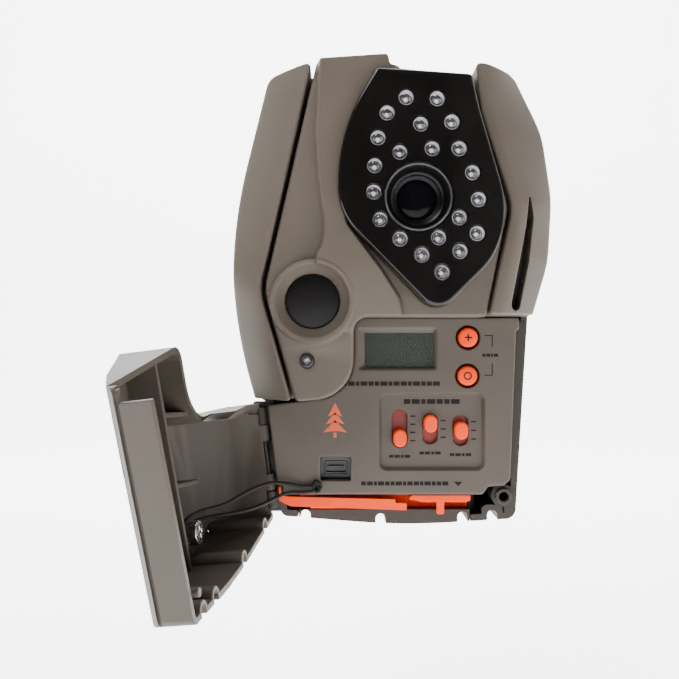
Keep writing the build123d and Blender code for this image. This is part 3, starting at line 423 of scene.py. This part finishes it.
def relief(name, outline, holes, height, floor, finish, body="camera", edge=0.8, hole_edge=0.4,
           grid=1.3, creases=()):
    """A moulded skin: its face follows height(x, z), rounds over at its edges, drops to floor.

    edge and hole_edge are the radii of its rounded edges; creases pairs each line along which
    the face bends with how far the bend reaches to either side.
    """
    loops = [outline] + holes
    rounding = [edge] + [hole_edge] * len(holes)
    points = [spot for loop in loops for spot in loop]
    edges = []
    start = 0
    for loop in loops:
        edges += [(start + k, start + (k + 1) % len(loop)) for k in range(len(loop))]
        start += len(loop)
    candidates = skin_spots(loops, rounding, grid, creases)
    points += [tuple(spot) for spot in candidates[within(candidates, outline, holes)]]
    flat = geometry.delaunay_2d_cdt([Vector(spot) for spot in points], edges, [], 0, 1e-4)
    spots = np.array([tuple(spot) for spot in flat[0]])
    triangles = np.array(flat[2])
    triangles = triangles[within(spots[triangles].mean(axis=1), outline, holes)]
    tops = height(spots[:, 0], spots[:, 1])
    for loop, radius in zip(loops, rounding):
        near = np.clip(distance(spots, loop), 0, radius)
        tops = tops - (radius - np.sqrt(np.maximum(radius ** 2 - (radius - near) ** 2, 0)))
    count = len(spots)
    verts = [(x, top, z) for (x, z), top in zip(spots, tops)]
    verts += [(x, floor, z) for x, z in spots]
    faces = [tuple(part) for part in triangles]
    faces += [tuple(reversed([i + count for i in part])) for part in triangles]
    rims = {}
    for a, b, c in triangles:
        for pair in ((a, b), (b, c), (c, a)):
            rims[frozenset(pair)] = None if frozenset(pair) in rims else pair
    faces += [(b, a, a + count, b + count) for a, b in filter(None, rims.values())]
    used = sorted({i for part in faces for i in part})
    index = {old: new for new, old in enumerate(used)}
    verts = [verts[i] for i in used]
    faces = [tuple(index[i] for i in part) for part in faces]
    return build(name, verts, faces, finish, body)


def level(depth):
    """A flat face at one depth, for relief()."""
    return lambda x, z: np.full(len(x), depth)


def turned(name, centre, profile, finish, body="camera", count=64):
    """A piece turned about an axis along the view; profile: radius and depth, tip to tail."""
    verts, faces, rings = [], [], []
    for radius, depth in profile:
        first = len(verts)
        if radius == 0:
            verts.append((centre[0], depth, centre[1]))
            rings.append([first] * count)
        else:
            verts += [(x, depth, z) for x, z in circle(centre, radius, count)]
            rings.append(list(range(first, first + count)))
    for above, below in zip(rings, rings[1:]):
        for k in range(count):
            ahead = (k + 1) % count
            around = list(dict.fromkeys([above[k], above[ahead], below[ahead], below[k]]))
            if len(around) > 2:
                faces.append(around)
    return build(name, verts, faces, finish, body)


CREASE_ANGLE = radians(32)
BEVEL_SEGMENTS = 3
BEVEL_ROUNDS = 14
SHORT_EDGE_ROUNDS = 6  # the rounds in which only short edges give way to a fold
FOLD_AREA = 0.3e-6  # square metres
# as multiples of the bevel's width
SPIKE = 1.25
REACH = 2.2
SHORT_EDGE = 5


def spiked(made, form, limit):
    """The good points that hold the points which stand out of the form by more than a limit."""
    strays = {vert.index for vert in made.vertices if form.find_nearest(vert.co)[3] > limit}
    roots = {}
    for edge in made.edges:
        for one, other in (tuple(edge.vertices), tuple(edge.vertices)[::-1]):
            if one in strays and other not in strays:
                gap = (made.vertices[one].co - made.vertices[other].co).length
                roots[one] = min(roots.get(one, (gap, other)), (gap, other))
    return bool(strays), {root for _, root in roots.values()}


def folded(made):
    """The triangles that turn over, in faces whose outline crosses itself."""
    made.calc_loop_triangles()
    return [part for part in made.loop_triangles if part.area > FOLD_AREA
            and part.normal.dot(made.polygons[part.polygon_index].normal) < 0.3]


def round_edges(piece, mesh, form, ends, sharp, width):
    """Bevel the sharp edges, but leave those sharp that would throw a spike or fold a face."""
    bevel = piece.modifiers.new("edges", "BEVEL")
    bevel.width = width
    bevel.segments = BEVEL_SEGMENTS
    bevel.limit_method = "WEIGHT"
    bevel.use_clamp_overlap = False
    bevel.harden_normals = True
    weights = mesh.attributes.new("bevel_weight_edge", "FLOAT", "EDGE")
    lengths = np.linalg.norm(ends[:, 0] - ends[:, 1], axis=1)
    for turn in range(BEVEL_ROUNDS):
        weights.data.foreach_set("value", sharp.astype(float))
        mesh.update()
        bpy.context.view_layer.update()
        made = piece.evaluated_get(bpy.context.evaluated_depsgraph_get()).to_mesh()
        spikes, roots = spiked(made, form, SPIKE * width)
        folds = folded(made)
        if not spikes and not folds:
            break
        if turn < SHORT_EDGE_ROUNDS:
            beside = {k for part in folds for k in made.polygons[part.polygon_index].vertices}
            longest = SHORT_EDGE * width
        else:
            beside = {k for part in folds for k in part.vertices}
            longest = np.inf
        for spots, limit in ((beside, longest), (roots, np.inf)):
            for spot in spots:
                offset = np.linalg.norm(ends - np.array(made.vertices[spot].co), axis=2)
                sharp &= (offset.min(axis=1) > REACH * width) | (lengths > limit)


def moulded(name, finish, body, width=0.0):
    """A CAD node's own form with its edges rounded over."""
    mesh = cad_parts[name].data.copy()
    work = bmesh.new()
    work.from_mesh(mesh)
    bmesh.ops.remove_doubles(work, verts=work.verts, dist=0.03 * MM)
    bmesh.ops.dissolve_degenerate(work, dist=0.02 * MM, edges=work.edges)
    bmesh.ops.dissolve_limit(work, angle_limit=radians(1.0), verts=work.verts, edges=work.edges)
    sharp = np.array([len(edge.link_faces) == 2 and edge.calc_face_angle(0) > CREASE_ANGLE
                      for edge in work.edges])
    ends = np.array([[tuple(vert.co) for vert in edge.verts] for edge in work.edges])
    form = BVHTree.FromBMesh(work)
    work.to_mesh(mesh)
    work.free()
    mesh.shade_smooth()
    mesh.set_sharp_from_angle(angle=CREASE_ANGLE)
    mesh.materials.clear()
    mesh.materials.append(finish)
    piece = show(name + "_moulded", mesh)
    if width:
        round_edges(piece, mesh, form, ends, sharp, width * MM)
    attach(piece, body)
    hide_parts(name)
    return piece


# ---------------------------------------------------------------- front cover
COVER_LOOP = rounded(COVER, COVER_R)
WINDOW_LOOP = rounded(WINDOW, WINDOW_R)
BLADE_LOOP = rounded(BLADE, BLADE_R, 1.0)


def cover_height(x, z):
    """The face of the cover: the raised blade, the ring round the sensor and its cone."""
    spots = np.stack([x, z], 1)
    # the blade rises across its outline and fades out towards its lower end
    from_blade = distance(spots, BLADE_LOOP) * np.where(inside(spots, BLADE_LOOP), 1, -1)
    blade = BLADE_RISE * smooth((from_blade + 0.7) / 1.5) * smooth((z + 30) / 42)
    radius = np.hypot(x - PIR[0], z - PIR[1])
    ring = RING_RISE * smooth((PIR_RING_R + 0.1 - radius) / 1.1)
    # the face falls away beside the blade, and blade and ring merge softly
    away = np.clip(-from_blade - 1, 0, 9) * smooth((radius - PIR_RING_R) / 4)
    face = COVER_TOP - 0.3 - 0.12 * away + (blade ** 4 + ring ** 4 + 1e-9) ** 0.25
    # inside the ring the face sinks in a cone to the sensor
    cone = COVER_TOP + RING_RISE - 0.75 - 1.2 * np.clip(PIR_CONE_R - radius, 0, None)
    lip = smooth((PIR_CONE_R + 0.5 - radius) / 1.0)
    return face + (np.minimum(face, cone) - face) * lip


cover_holes = [WINDOW_LOOP, circle(PIR, PIR_HOLE_R, 72), circle(INDICATOR, INDICATOR_HOLE_R, 32)]
cover_creases = [
    (BLADE_LOOP, 1.2),
    (circle(PIR, PIR_RING_R - 0.4, 130), 0.9),
    (circle(PIR, PIR_CONE_R, 110), 0.6),
]
relief("cover_face", COVER_LOOP, cover_holes, cover_height, SKIN_FLOOR, CASE, edge=0.9,
       hole_edge=0.35, grid=1.1, creases=cover_creases)
plate = relief("cover_plate", rounded(PLATE, PLATE_R), [WINDOW_LOOP], level(PLATE_TOP), PLATE_BASE,
               CASE, edge=0.3, grid=3.5)
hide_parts("front_cover")

# ---------------------------------------------------------------- side shells
SHELL_EDGE = 50.0
SHELL_CREST = 61.7


def shell_height(outer, inner, rise):
    """A shell's face: a slope from the silhouette that rolls over to a crest by the groove."""
    def height(x, z):
        spots = np.stack([x, z], 1)
        from_outer = distance(spots, outer, closed=False)
        from_inner = distance(spots, inner, closed=False)
        share = from_outer / np.maximum(from_outer + from_inner, 1e-6)
        slope = np.clip(share / rise, 0, 1)
        return SHELL_EDGE + (SHELL_CREST - SHELL_EDGE) * (1 - (1 - slope) ** 1.3)
    return height


left = relief("left_shell", rounded(LEFT_OUTER + LEFT_INNER, LEFT_R), [],
              shell_height(LEFT_OUTER[1:], LEFT_INNER + LEFT_OUTER[:1], 0.95),
              SKIN_FLOOR, SHELL, edge=0.75)
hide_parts("left_side_shell")
right = relief("right_shell", rounded(RIGHT_OUTER + RIGHT_INNER, RIGHT_R),
               [rounded(SHELL_SLOT, SHELL_SLOT_R)],
               shell_height(RIGHT_OUTER[1:], RIGHT_INNER + RIGHT_OUTER[:1], 0.8),
               SKIN_FLOOR, SHELL, edge=0.75)
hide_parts("right_side_shell")


# ---------------------------------------------------------------- lamp window, lamps and lens
def window_height(x, z):
    """The window bows back, by 1.3 mm at its sides and 0.5 mm at its ends."""
    return WINDOW_TOP - 1.3 * ((x - 6) / 30) ** 2 - 0.5 * ((z - 34) / 42) ** 2


window_holes = [circle(spot, LED_R + 0.1, 28) for spot in LEDS] + [circle(LENS, LENS_HOLE_R, 64)]
pane = relief("window_pane", WINDOW_LOOP, window_holes, window_height, COVER_TOP - 2.5,
              GLOSS_BLACK, edge=0.7, hole_edge=0.25, grid=1.6)
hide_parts("lamp_window")

DOME_FORM = [
    (0, 71.05), (0.6, 70.98), (1.2, 70.75), (1.75, 70.35), (2.15, 69.8), (2.4, 69.2), (2.48, 68.6),
    (2.48, 62.4), (2.2, 61.6), (0, 61.4),
]  # fmt: skip
CUP_FORM = [
    (0.95, 67.2), (1.3, 67.7), (1.75, 68.5), (2.05, 69.1), (2.22, 69.0), (2.26, 68.5),
    (2.26, 65.0), (0.95, 65.0), (0.95, 67.2),
]  # fmt: skip
DIE_FORM = [(0, 67.25), (0.93, 67.15), (0.93, 66.0), (0, 66.0)]
WIRE_FORM = [(0, 67.7), (0.22, 67.6), (0.34, 67.4), (0.34, 67.0), (0, 67.0)]
for number, spot in enumerate(LEDS):
    dome = turned(f"lamp_dome_{number:02d}", spot, DOME_FORM, EPOXY, count=32)
    turned(f"lamp_cup_{number:02d}", spot, CUP_FORM, CUP, count=32)
    turned(f"lamp_die_{number:02d}", spot, DIE_FORM, DIE, count=20)
    turned(f"lamp_wire_{number:02d}", spot, WIRE_FORM, CUP, count=12)
    if number == 0:
        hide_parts("ir_lamps")

bezel = turned("bezel_ring", LENS, [
    (11.25, 62.5), (11.25, 69.8), (10.4, 69.8), (10.3, 69.6), (10.0, 69.35), (8.9, 66.0),
    (8.2, 65.6), (8.0, 63.6), (6.9, 63.2), (6.7, 62.5), (11.25, 62.5),
], LENS_BLACK, count=96)
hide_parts("lens_bezel")
turned("bezel_lip", LENS, [
    (11.25, 69.85), (11.25, 70.35), (11.1, 70.75), (10.85, 70.95), (10.6, 70.85), (10.45, 70.5),
    (10.4, 69.85), (11.25, 69.85),
], LENS_RIM, count=96)
lens = turned("lens_dome", LENS, [
    (0, 62.6), (1.5, 62.56), (3.0, 62.42), (4.4, 62.2), (5.6, 61.9), (6.5, 61.55), (6.85, 61.2),
    (6.85, 60.5), (0, 60.4),
], GLASS)
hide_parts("lens_glass")
barrel = turned("barrel_rings", LENS, [
    (6.85, 60.3), (5.6, 60.1), (5.3, 59.0), (4.7, 58.8), (4.4, 57.2), (3.7, 57.0), (3.3, 54.6),
    (2.2, 54.2), (2.0, 52.2), (0, 52.0),
], LENS_BLACK)
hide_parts("lens_barrel")

sensor_face = turned("sensor_dome", PIR, [
    (0, 60.0), (2.0, 59.97), (4.0, 59.86), (6.0, 59.68), (7.8, 59.44), (9.0, 59.25), (9.35, 59.1),
    (9.35, 58.9), (0, 58.8),
], PIR_FILM)
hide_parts("pir_lens")
indicator = turned("indicator_ring", INDICATOR, [
    (1.35, 61.2), (1.5, 61.75), (1.75, 61.95), (2.1, 61.85), (2.35, 61.5), (2.35, 58.4),
    (1.35, 58.4), (1.35, 61.2),
], DARK, count=32)
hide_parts("indicator_lens")
turned("indicator_bulb", INDICATOR, [
    (0, 60.9), (0.5, 60.82), (0.95, 60.5), (1.2, 60.0), (1.25, 58.4), (0, 58.4),
], EPOXY, count=24)
turned("indicator_cup", INDICATOR, [
    (0, 58.9), (0.45, 59.0), (1.15, 59.5), (1.2, 59.4), (1.2, 58.5), (0, 58.5),
], CUP, count=24)


# ---------------------------------------------------------------- control panel
LCD_HOLE = box_loop(LCD, 24.4, 12.1, 0.4)
PORT_HOLE = box_loop(PORT, 10.8, 8.5, 0.5)
FRAME_LOOP = box_loop((LCD[0] - 0.7, LCD[1] + 0.4), 28.6, 15.6, 1.2)
PRESETS_LOOP = box_loop(PRESETS, 38.0, 28.0, 3.0)


def dish(spots, loop, depth, run):
    """How far the face falls inside a recess whose wall leans over a run."""
    fall = distance(spots, loop) * np.where(inside(spots, loop), 1, 0)
    return depth * smooth(fall / run)


def panel_height(x, z):
    """The face of the panel: the recess of the presets and the frame round the screen."""
    spots = np.stack([x, z], 1)
    presets = dish(spots, PRESETS_LOOP, PANEL_TOP - PRESETS_FLOOR, 1.3)
    screen = dish(spots, FRAME_LOOP, 1.2, 1.7)
    return PANEL_TOP - presets - screen


panel_holes = [LCD_HOLE, PORT_HOLE]
for switch in SWITCHES.values():
    top, bottom = switch["slot"]
    middle = (switch["x"], (top + bottom) / 2)
    panel_holes.append(box_loop(middle, SLOT_W, top - bottom, SLOT_W / 2 - 0.05))
panel_holes += [circle(spot, BUTTON_HOLE_R, 40) for spot in BUTTONS.values()]
face = relief("panel_face", rounded(PANEL, PANEL_R), panel_holes, panel_height, PANEL_FLOOR,
              PANEL_SHADED_PLASTIC, edge=0.6, hole_edge=0.3, grid=1.2,
              creases=[(PRESETS_LOOP, 1.5), (FRAME_LOOP, 1.0)])
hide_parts("control_panel")

moulded("lcd_glass", SCREEN_GLASS, "camera", width=0.1)
moulded("lcd_module", SCREEN, "camera", width=0.2)

CAP_FORM = [
    (0, 46.95), (2.4, 46.93), (2.95, 46.85), (3.3, 46.6), (3.45, 46.2), (3.5, 43.3), (0, 43.3),
]  # fmt: skip
WELL_FORM = [(3.7, 43.7), (4.6, 43.7), (4.6, 43.1), (3.7, 43.1), (3.7, 43.7)]
for name, spot in BUTTONS.items():
    cap = turned(name + "_cap", spot, CAP_FORM, ORANGE, body=name)
    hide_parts(name)
    # the dark red ring in the button's gap is painted shade
    turned(name + "_well", spot, WELL_FORM, BUTTON_GAP_SHADE, count=48)


def printed(name, loops, depth, finish, body="camera"):
    """Flat ink: closed outlines lifted a hair off the face under them."""
    verts, faces = [], []
    for loop in loops:
        first, count = len(verts), len(loop)
        verts += [(x, depth, z) for x, z in loop]
        verts += [(x, depth - INK_DEPTH, z) for x, z in loop]
        faces.append(list(range(first, first + count)))
        faces.append(list(range(first + count, first + 2 * count))[::-1])
        for k in range(count):
            here, ahead = first + k, first + (k + 1) % count
            faces.append((here, ahead, ahead + count, here + count))
    return build(name, verts, faces, finish, body)


def bar(x, z, width, height):
    """A plain rectangle about its centre."""
    return [(x - width / 2, z - height / 2), (x + width / 2, z - height / 2),
            (x + width / 2, z + height / 2), (x - width / 2, z + height / 2)]


def caption(x, z, width, height, count):
    """A row of plain blocks that stands where a caption is printed."""
    shares = [1.0 + 0.35 * sin(2.4 * k) for k in range(count)]
    gap = 0.22
    unit = width / (sum(shares) + gap * (count - 1))
    left = x - width / 2
    blocks = []
    for share in shares:
        blocks.append(bar(left + unit * share / 2, z, unit * share, height))
        left += unit * (share + gap)
    return blocks


def fir(x, z, tiers):
    """A fir tree of stacked wedges over a short trunk."""
    loops = [bar(x, z + 0.9, 1.1, 1.8)]
    for low, high, half in tiers:
        notch = half * 0.3
        loops.append([(x - half, z + low), (x - notch, z + low + 0.5), (x + notch, z + low + 0.5),
                      (x + half, z + low), (x, z + high)])
    return loops


plus_x, plus_z = BUTTONS["plus_button"]
cross = [bar(plus_x, plus_z, 2.6, 0.5), bar(plus_x, plus_z, 0.5, 2.6)]
printed("plus_mark", cross, CAP_TOP, INK, "plus_button")
OK_FORM = [(1.0, 47.0), (1.45, 47.0), (1.45, 46.85), (1.0, 46.85), (1.0, 47.0)]
turned("ok_mark", BUTTONS["ok_button"], OK_FORM, INK, body="ok_button", count=32)

# the skirt behind each knob fills its slot over the knob's whole travel; its orange is darkened as
# painted shade
for name, switch in SWITCHES.items():
    moulded(name, ORANGE, name)
    down, up = switch["travel"]
    top = switch["slot"][0] - down + 0.8
    bottom = switch["slot"][1] - up - 0.8
    skirt = box_loop((switch["x"], (top + bottom) / 2), 5.8, top - bottom, 0.6)
    relief(name + "_skirt", skirt, [], level(PANEL_FLOOR), 41.6, ORANGE_SHADED, body=name, edge=0.1,
           grid=2.5)

marks = []
for switch in SWITCHES.values():
    top, bottom = switch["slot"]
    spread = np.linspace(top - 2.4, bottom + 2.4, switch["ticks"])
    marks += [bar(switch["x"] + 4.7, z, 1.8, 0.5) for z in spread]
    marks += caption(switch["x"], bottom - 3.2, 7.6, 1.0, 4)
marks += caption(PRESETS[0] + 0.1, PRESETS[1] + 10.6, 20, 1.7, 7)
printed("presets_marks", marks, PRESETS_FLOOR + INK_LIFT, INK)

BUTTON_RULES = [
    (33.4, -13.6, 2.8, 0.35), (34.7, -15.6, 0.35, 4.2), (33.4, -27.7, 2.8, 0.35),
    (34.7, -25.6, 0.35, 4.2),
]  # fmt: skip
marks = caption(-1.4, -30.7, 35, 1.5, 15) + caption(3.6, -66.2, 31, 1.4, 15)
marks += [bar(*rule) for rule in BUTTON_RULES]
marks += caption(34.0, -20.6, 5.6, 1.0, 4)
marks.append([(21.1, -65.6), (24.1, -65.6), (22.6, -67.2)])
printed("panel_marks", marks, PANEL_TOP + INK_LIFT, INK)

FIR_TIERS = [(1.8, 6.2, 4.2), (4.8, 9.0, 3.4), (7.6, 12.4, 2.5)]
printed("fir_mark", fir(-21.2, -49.9, FIR_TIERS), PANEL_TOP + INK_LIFT, INK_ORANGE)

relief("hinge_rib", rounded(HINGE_RIB, HINGE_RIB_R), [], level(38.8), 36.4, HOUSING_SHADED_PLASTIC, edge=0.4,
       grid=3.0)
relief("rim_step", rounded(RIM_STEP, RIM_STEP_R), [], level(42.2), 41.5, HOUSING_SHADED_PLASTIC, edge=0.15,
       grid=3.0)
# the dark well round the port: a dark sheet in the recess, as painted shade
relief("port_well", box_loop(PORT, 12.4, 10.2, 0.8), [box_loop(PORT, 8.5, 4.7, 0.8)], level(41.3),
       40.2, DARK, edge=0.2, hole_edge=0.15, grid=2.0)

# ---------------------------------------------------------------- the CAD's own forms
# finish, body, width of the rounded edges and material slot
MOULDED = {
    "rear_housing": (HOUSING_SHADED_PLASTIC, "camera", 0.4, "case_plastic"),
    "tray_cap": (HOUSING_SHADED_PLASTIC, "tray", 0.3, "case_plastic"),
    "door_shell": (DOOR, "door", 0.35, "case_plastic"),
    "tether_screw": (STEEL, "door", 0.2, "steel"),
    "battery_tray": (ORANGE, "tray", 0.2, "orange_plastic"),
    "tray_lock": (ORANGE, "lock", 0.2, "orange_plastic"),
    "latch_socket": (HOUSING_SHADED_PLASTIC, "camera", 0.3, "dark_plastic"),
    "usb_port": (DARK, "camera", 0.1, "tin_can"),
    "hinge_pin": (PIN, "camera", 0.1, "steel"),
    "housing_screws": (STEEL, "camera", 0.15, "steel"),
    "tripod_insert": (BRASS, "camera", 0.2, "brass"),
    "control_board": (BOARD, "camera", 0, "board"),
    "main_board": (BOARD, "camera", 0, "board"),
    "lamp_board": (BOARD, "camera", 0, "board"),
    "pir_board": (BOARD, "camera", 0, "board"),
    "aa_cells": (WRAP, "tray", 0.2, "cell_wrap"),
    "tray_springs": (STEEL, "tray", 0, "steel"),
    "battery_contacts": (BRASS, "camera", 0, "brass"),
    "board_screws": (STEEL, "camera", 0, "steel"),
    "card_socket": (TIN, "camera", 0, "tin_can"),
    "image_sensor": (DARK, "camera", 0, "black_part"),
    "ir_cut_filter": (GLASS, "ir_cut_filter", 0, "lens_glass"),
    "lens_holder": (DARK, "camera", 0, "black_part"),
    "pir_sensor": (TIN, "camera", 0, "tin_can"),
    "ribbon_cable": (FILM, "camera", 0, "ribbon_jacket"),
    "slide_switches": (TIN, "camera", 0, "tin_can"),
    "tact_switches": (DARK, "camera", 0, "black_part"),
}
for name, (surface, body, width, slot) in MOULDED.items():
    moulded(name, surface, body, width=width)


# ---------------------------------------------------------------- tether
def cord_line(points, steps=7):
    """A curve through the middle of each run between the points, round each corner."""
    spots = [Vector(point) for point in points]
    middles = [(a + b) / 2 for a, b in zip(spots, spots[1:])]
    line = [spots[0]]
    for start, corner, end in zip(middles, spots[1:-1], middles[1:]):
        for k in range(steps):
            share = k / steps
            line.append(start.lerp(corner, share).lerp(corner.lerp(end, share), share))
    return line + [middles[-1], spots[-1]]


def tube(name, line, diameter, finish, body, count=14):
    """A round cord along a line, its ring of points carried along without twist."""
    verts, faces = [], []
    ahead = (line[1] - line[0]).normalized()
    side = ahead.orthogonal().normalized()
    for k, spot in enumerate(line):
        now = (line[min(k + 1, len(line) - 1)] - line[max(k - 1, 0)]).normalized()
        side = (ahead.rotation_difference(now) @ side).normalized()
        ahead = now
        other = ahead.cross(side)
        for j in range(count):
            turn = 2 * pi * j / count
            verts.append(tuple(spot + (side * cos(turn) + other * sin(turn)) * diameter / 2))
    for k in range(len(line) - 1):
        for j in range(count):
            a, b = k * count + j, k * count + (j + 1) % count
            faces.append((a, b, b + count, a + count))
    faces.append(tuple(range(count))[::-1])
    faces.append(tuple(range(len(verts) - count, len(verts))))
    return build(name, verts, faces, finish, body)


def coils(name, loops, radius, finish, body, count=10):
    """Closed round strands, one for each loop of points."""
    verts, faces = [], []
    turns = np.linspace(0, 2 * pi, count + 1)[:-1]
    for loop in loops:
        first, length = len(verts), len(loop)
        for k, spot in enumerate(loop):
            ahead = (loop[(k + 1) % length] - loop[k - 1]).normalized()
            side = ahead.cross(Vector((0, 1, 0))).normalized()
            other = ahead.cross(side)
            verts += [tuple(spot + (side * cos(turn) + other * sin(turn)) * radius)
                      for turn in turns]
        for k in range(length):
            here, there = first + k * count, first + (k + 1) % length * count
            for j in range(count):
                ahead = (j + 1) % count
                faces.append((here + j, here + ahead, there + ahead, there + j))
    return build(name, verts, faces, finish, body)


line = cord_line(TETHER)
tether = tube("tether_cord", line, TETHER_D, CORD, None)
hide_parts("tether")
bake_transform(tether)

knot_loops = []
for k in range(KNOT_LOOPS):
    start = 2 * pi * k / KNOT_LOOPS
    knot_loops.append([
        Vector((KNOT[0] + 1.25 * cos(start + turn),
                KNOT[1] + 0.75 * sin(2 * turn + start),
                KNOT[2] + 0.1 + 1.9 * sin(start + turn) * (1 - 0.12 * k)))
        for turn in np.linspace(0, 2 * pi, 33)[:-1]
    ])
knot = coils("knot_coils", knot_loops, KNOT_STRAND_R, CORD, "camera")
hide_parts("tether_knot")

# ---------------------------------------------------------------- stage, lights and camera
# all in metres
FLOOR_Z = -0.165
FLOOR_FRONT = -2.2
SWEEP_START = 0.7
SWEEP_R = 0.5
SWEEP_HALF_WIDTH = 3
SWEEP_TOP = 2.6
PAPER_GLOW = 2.8
WORLD_GLOW = 0.14
CENTRE = (-0.01, -0.05, 0.0)
CARD_Y = -1.3
CARD_X = (-0.9, 0.27)
CARD_Z = (-0.8, 0.6)
CAMERA_SPOT = (-0.0196, -0.366, -0.015)
CAMERA_LENS = 47.7

profile = [(FLOOR_FRONT, FLOOR_Z), (SWEEP_START, FLOOR_Z)]
profile += [(SWEEP_START + SWEEP_R * sin(turn), FLOOR_Z + SWEEP_R * (1 - cos(turn)))
            for turn in np.linspace(0.1, pi / 2, 12)]
profile.append((SWEEP_START + SWEEP_R, SWEEP_TOP))
sweep = bpy.data.meshes.new("sweep")
sweep.from_pydata([(x, y, z) for y, z in profile for x in (-SWEEP_HALF_WIDTH, SWEEP_HALF_WIDTH)],
                  [], [(2 * k, 2 * k + 1, 2 * k + 3, 2 * k + 2) for k in range(len(profile) - 1)])
sweep.shade_smooth()
PAPER = plain("paper", Base_Color=(0.93, 0.93, 0.93, 1), Roughness=0.9,
              Emission_Color=(1, 1, 1, 1), Emission_Strength=PAPER_GLOW)
sweep.materials.append(PAPER)
show("backdrop", sweep)

world = bpy.data.worlds.new("studio")
world.use_nodes = True
world.node_tree.nodes["Background"].inputs["Color"].default_value = (1, 1, 1, 1)
world.node_tree.nodes["Background"].inputs["Strength"].default_value = WORLD_GLOW
bpy.context.scene.world = world


def lamp_at(name, spot, target, size, power):
    """A soft rectangular lamp that faces its target."""
    light = bpy.data.lights.new(name, "AREA")
    light.shape = "RECTANGLE"
    light.size, light.size_y = size
    light.energy = power
    made = show(name, light)
    made.location = spot
    made.rotation_euler = (Vector(target) - Vector(spot)).to_track_quat("-Z", "Y").to_euler()


lamp_at("key", (-0.6, -0.7, 0.95), CENTRE, (0.5, 0.5), 12)
lamp_at("fill", (0.95, -0.6, 0.2), CENTRE, (0.5, 0.9), 2.2)
lamp_at("top", (0.05, 0.0, 1.0), CENTRE, (0.8, 0.5), 5)
lamp_at("wall", (0.0, 0.3, 0.9), (0.0, 1.2, 0.2), (1.6, 0.6), 40)

# a dark card behind the camera, seen only in reflections
(card_left, card_right), (card_low, card_high) = CARD_X, CARD_Z
card_mesh = bpy.data.meshes.new("card")
card_mesh.from_pydata([(card_left, CARD_Y, card_low), (card_right, CARD_Y, card_low),
                       (card_right, CARD_Y, card_high), (card_left, CARD_Y, card_high)], [],
                      [(0, 1, 2, 3)])
card_mesh.materials.append(plain("felt", Base_Color=(0.004, 0.004, 0.004, 1),
                                 Specular_IOR_Level=0.0))
card = show("card", card_mesh)
card.visible_camera = False
card.visible_diffuse = False
card.visible_shadow = False

camera_data = bpy.data.cameras.new("camera")
camera_data.sensor_width = 36
camera_data.lens = CAMERA_LENS
camera_data.clip_start = 0.01
camera = show("photo_camera", camera_data)
camera.location = CAMERA_SPOT
camera.rotation_euler = (pi / 2, 0, 0)
bpy.context.scene.camera = camera
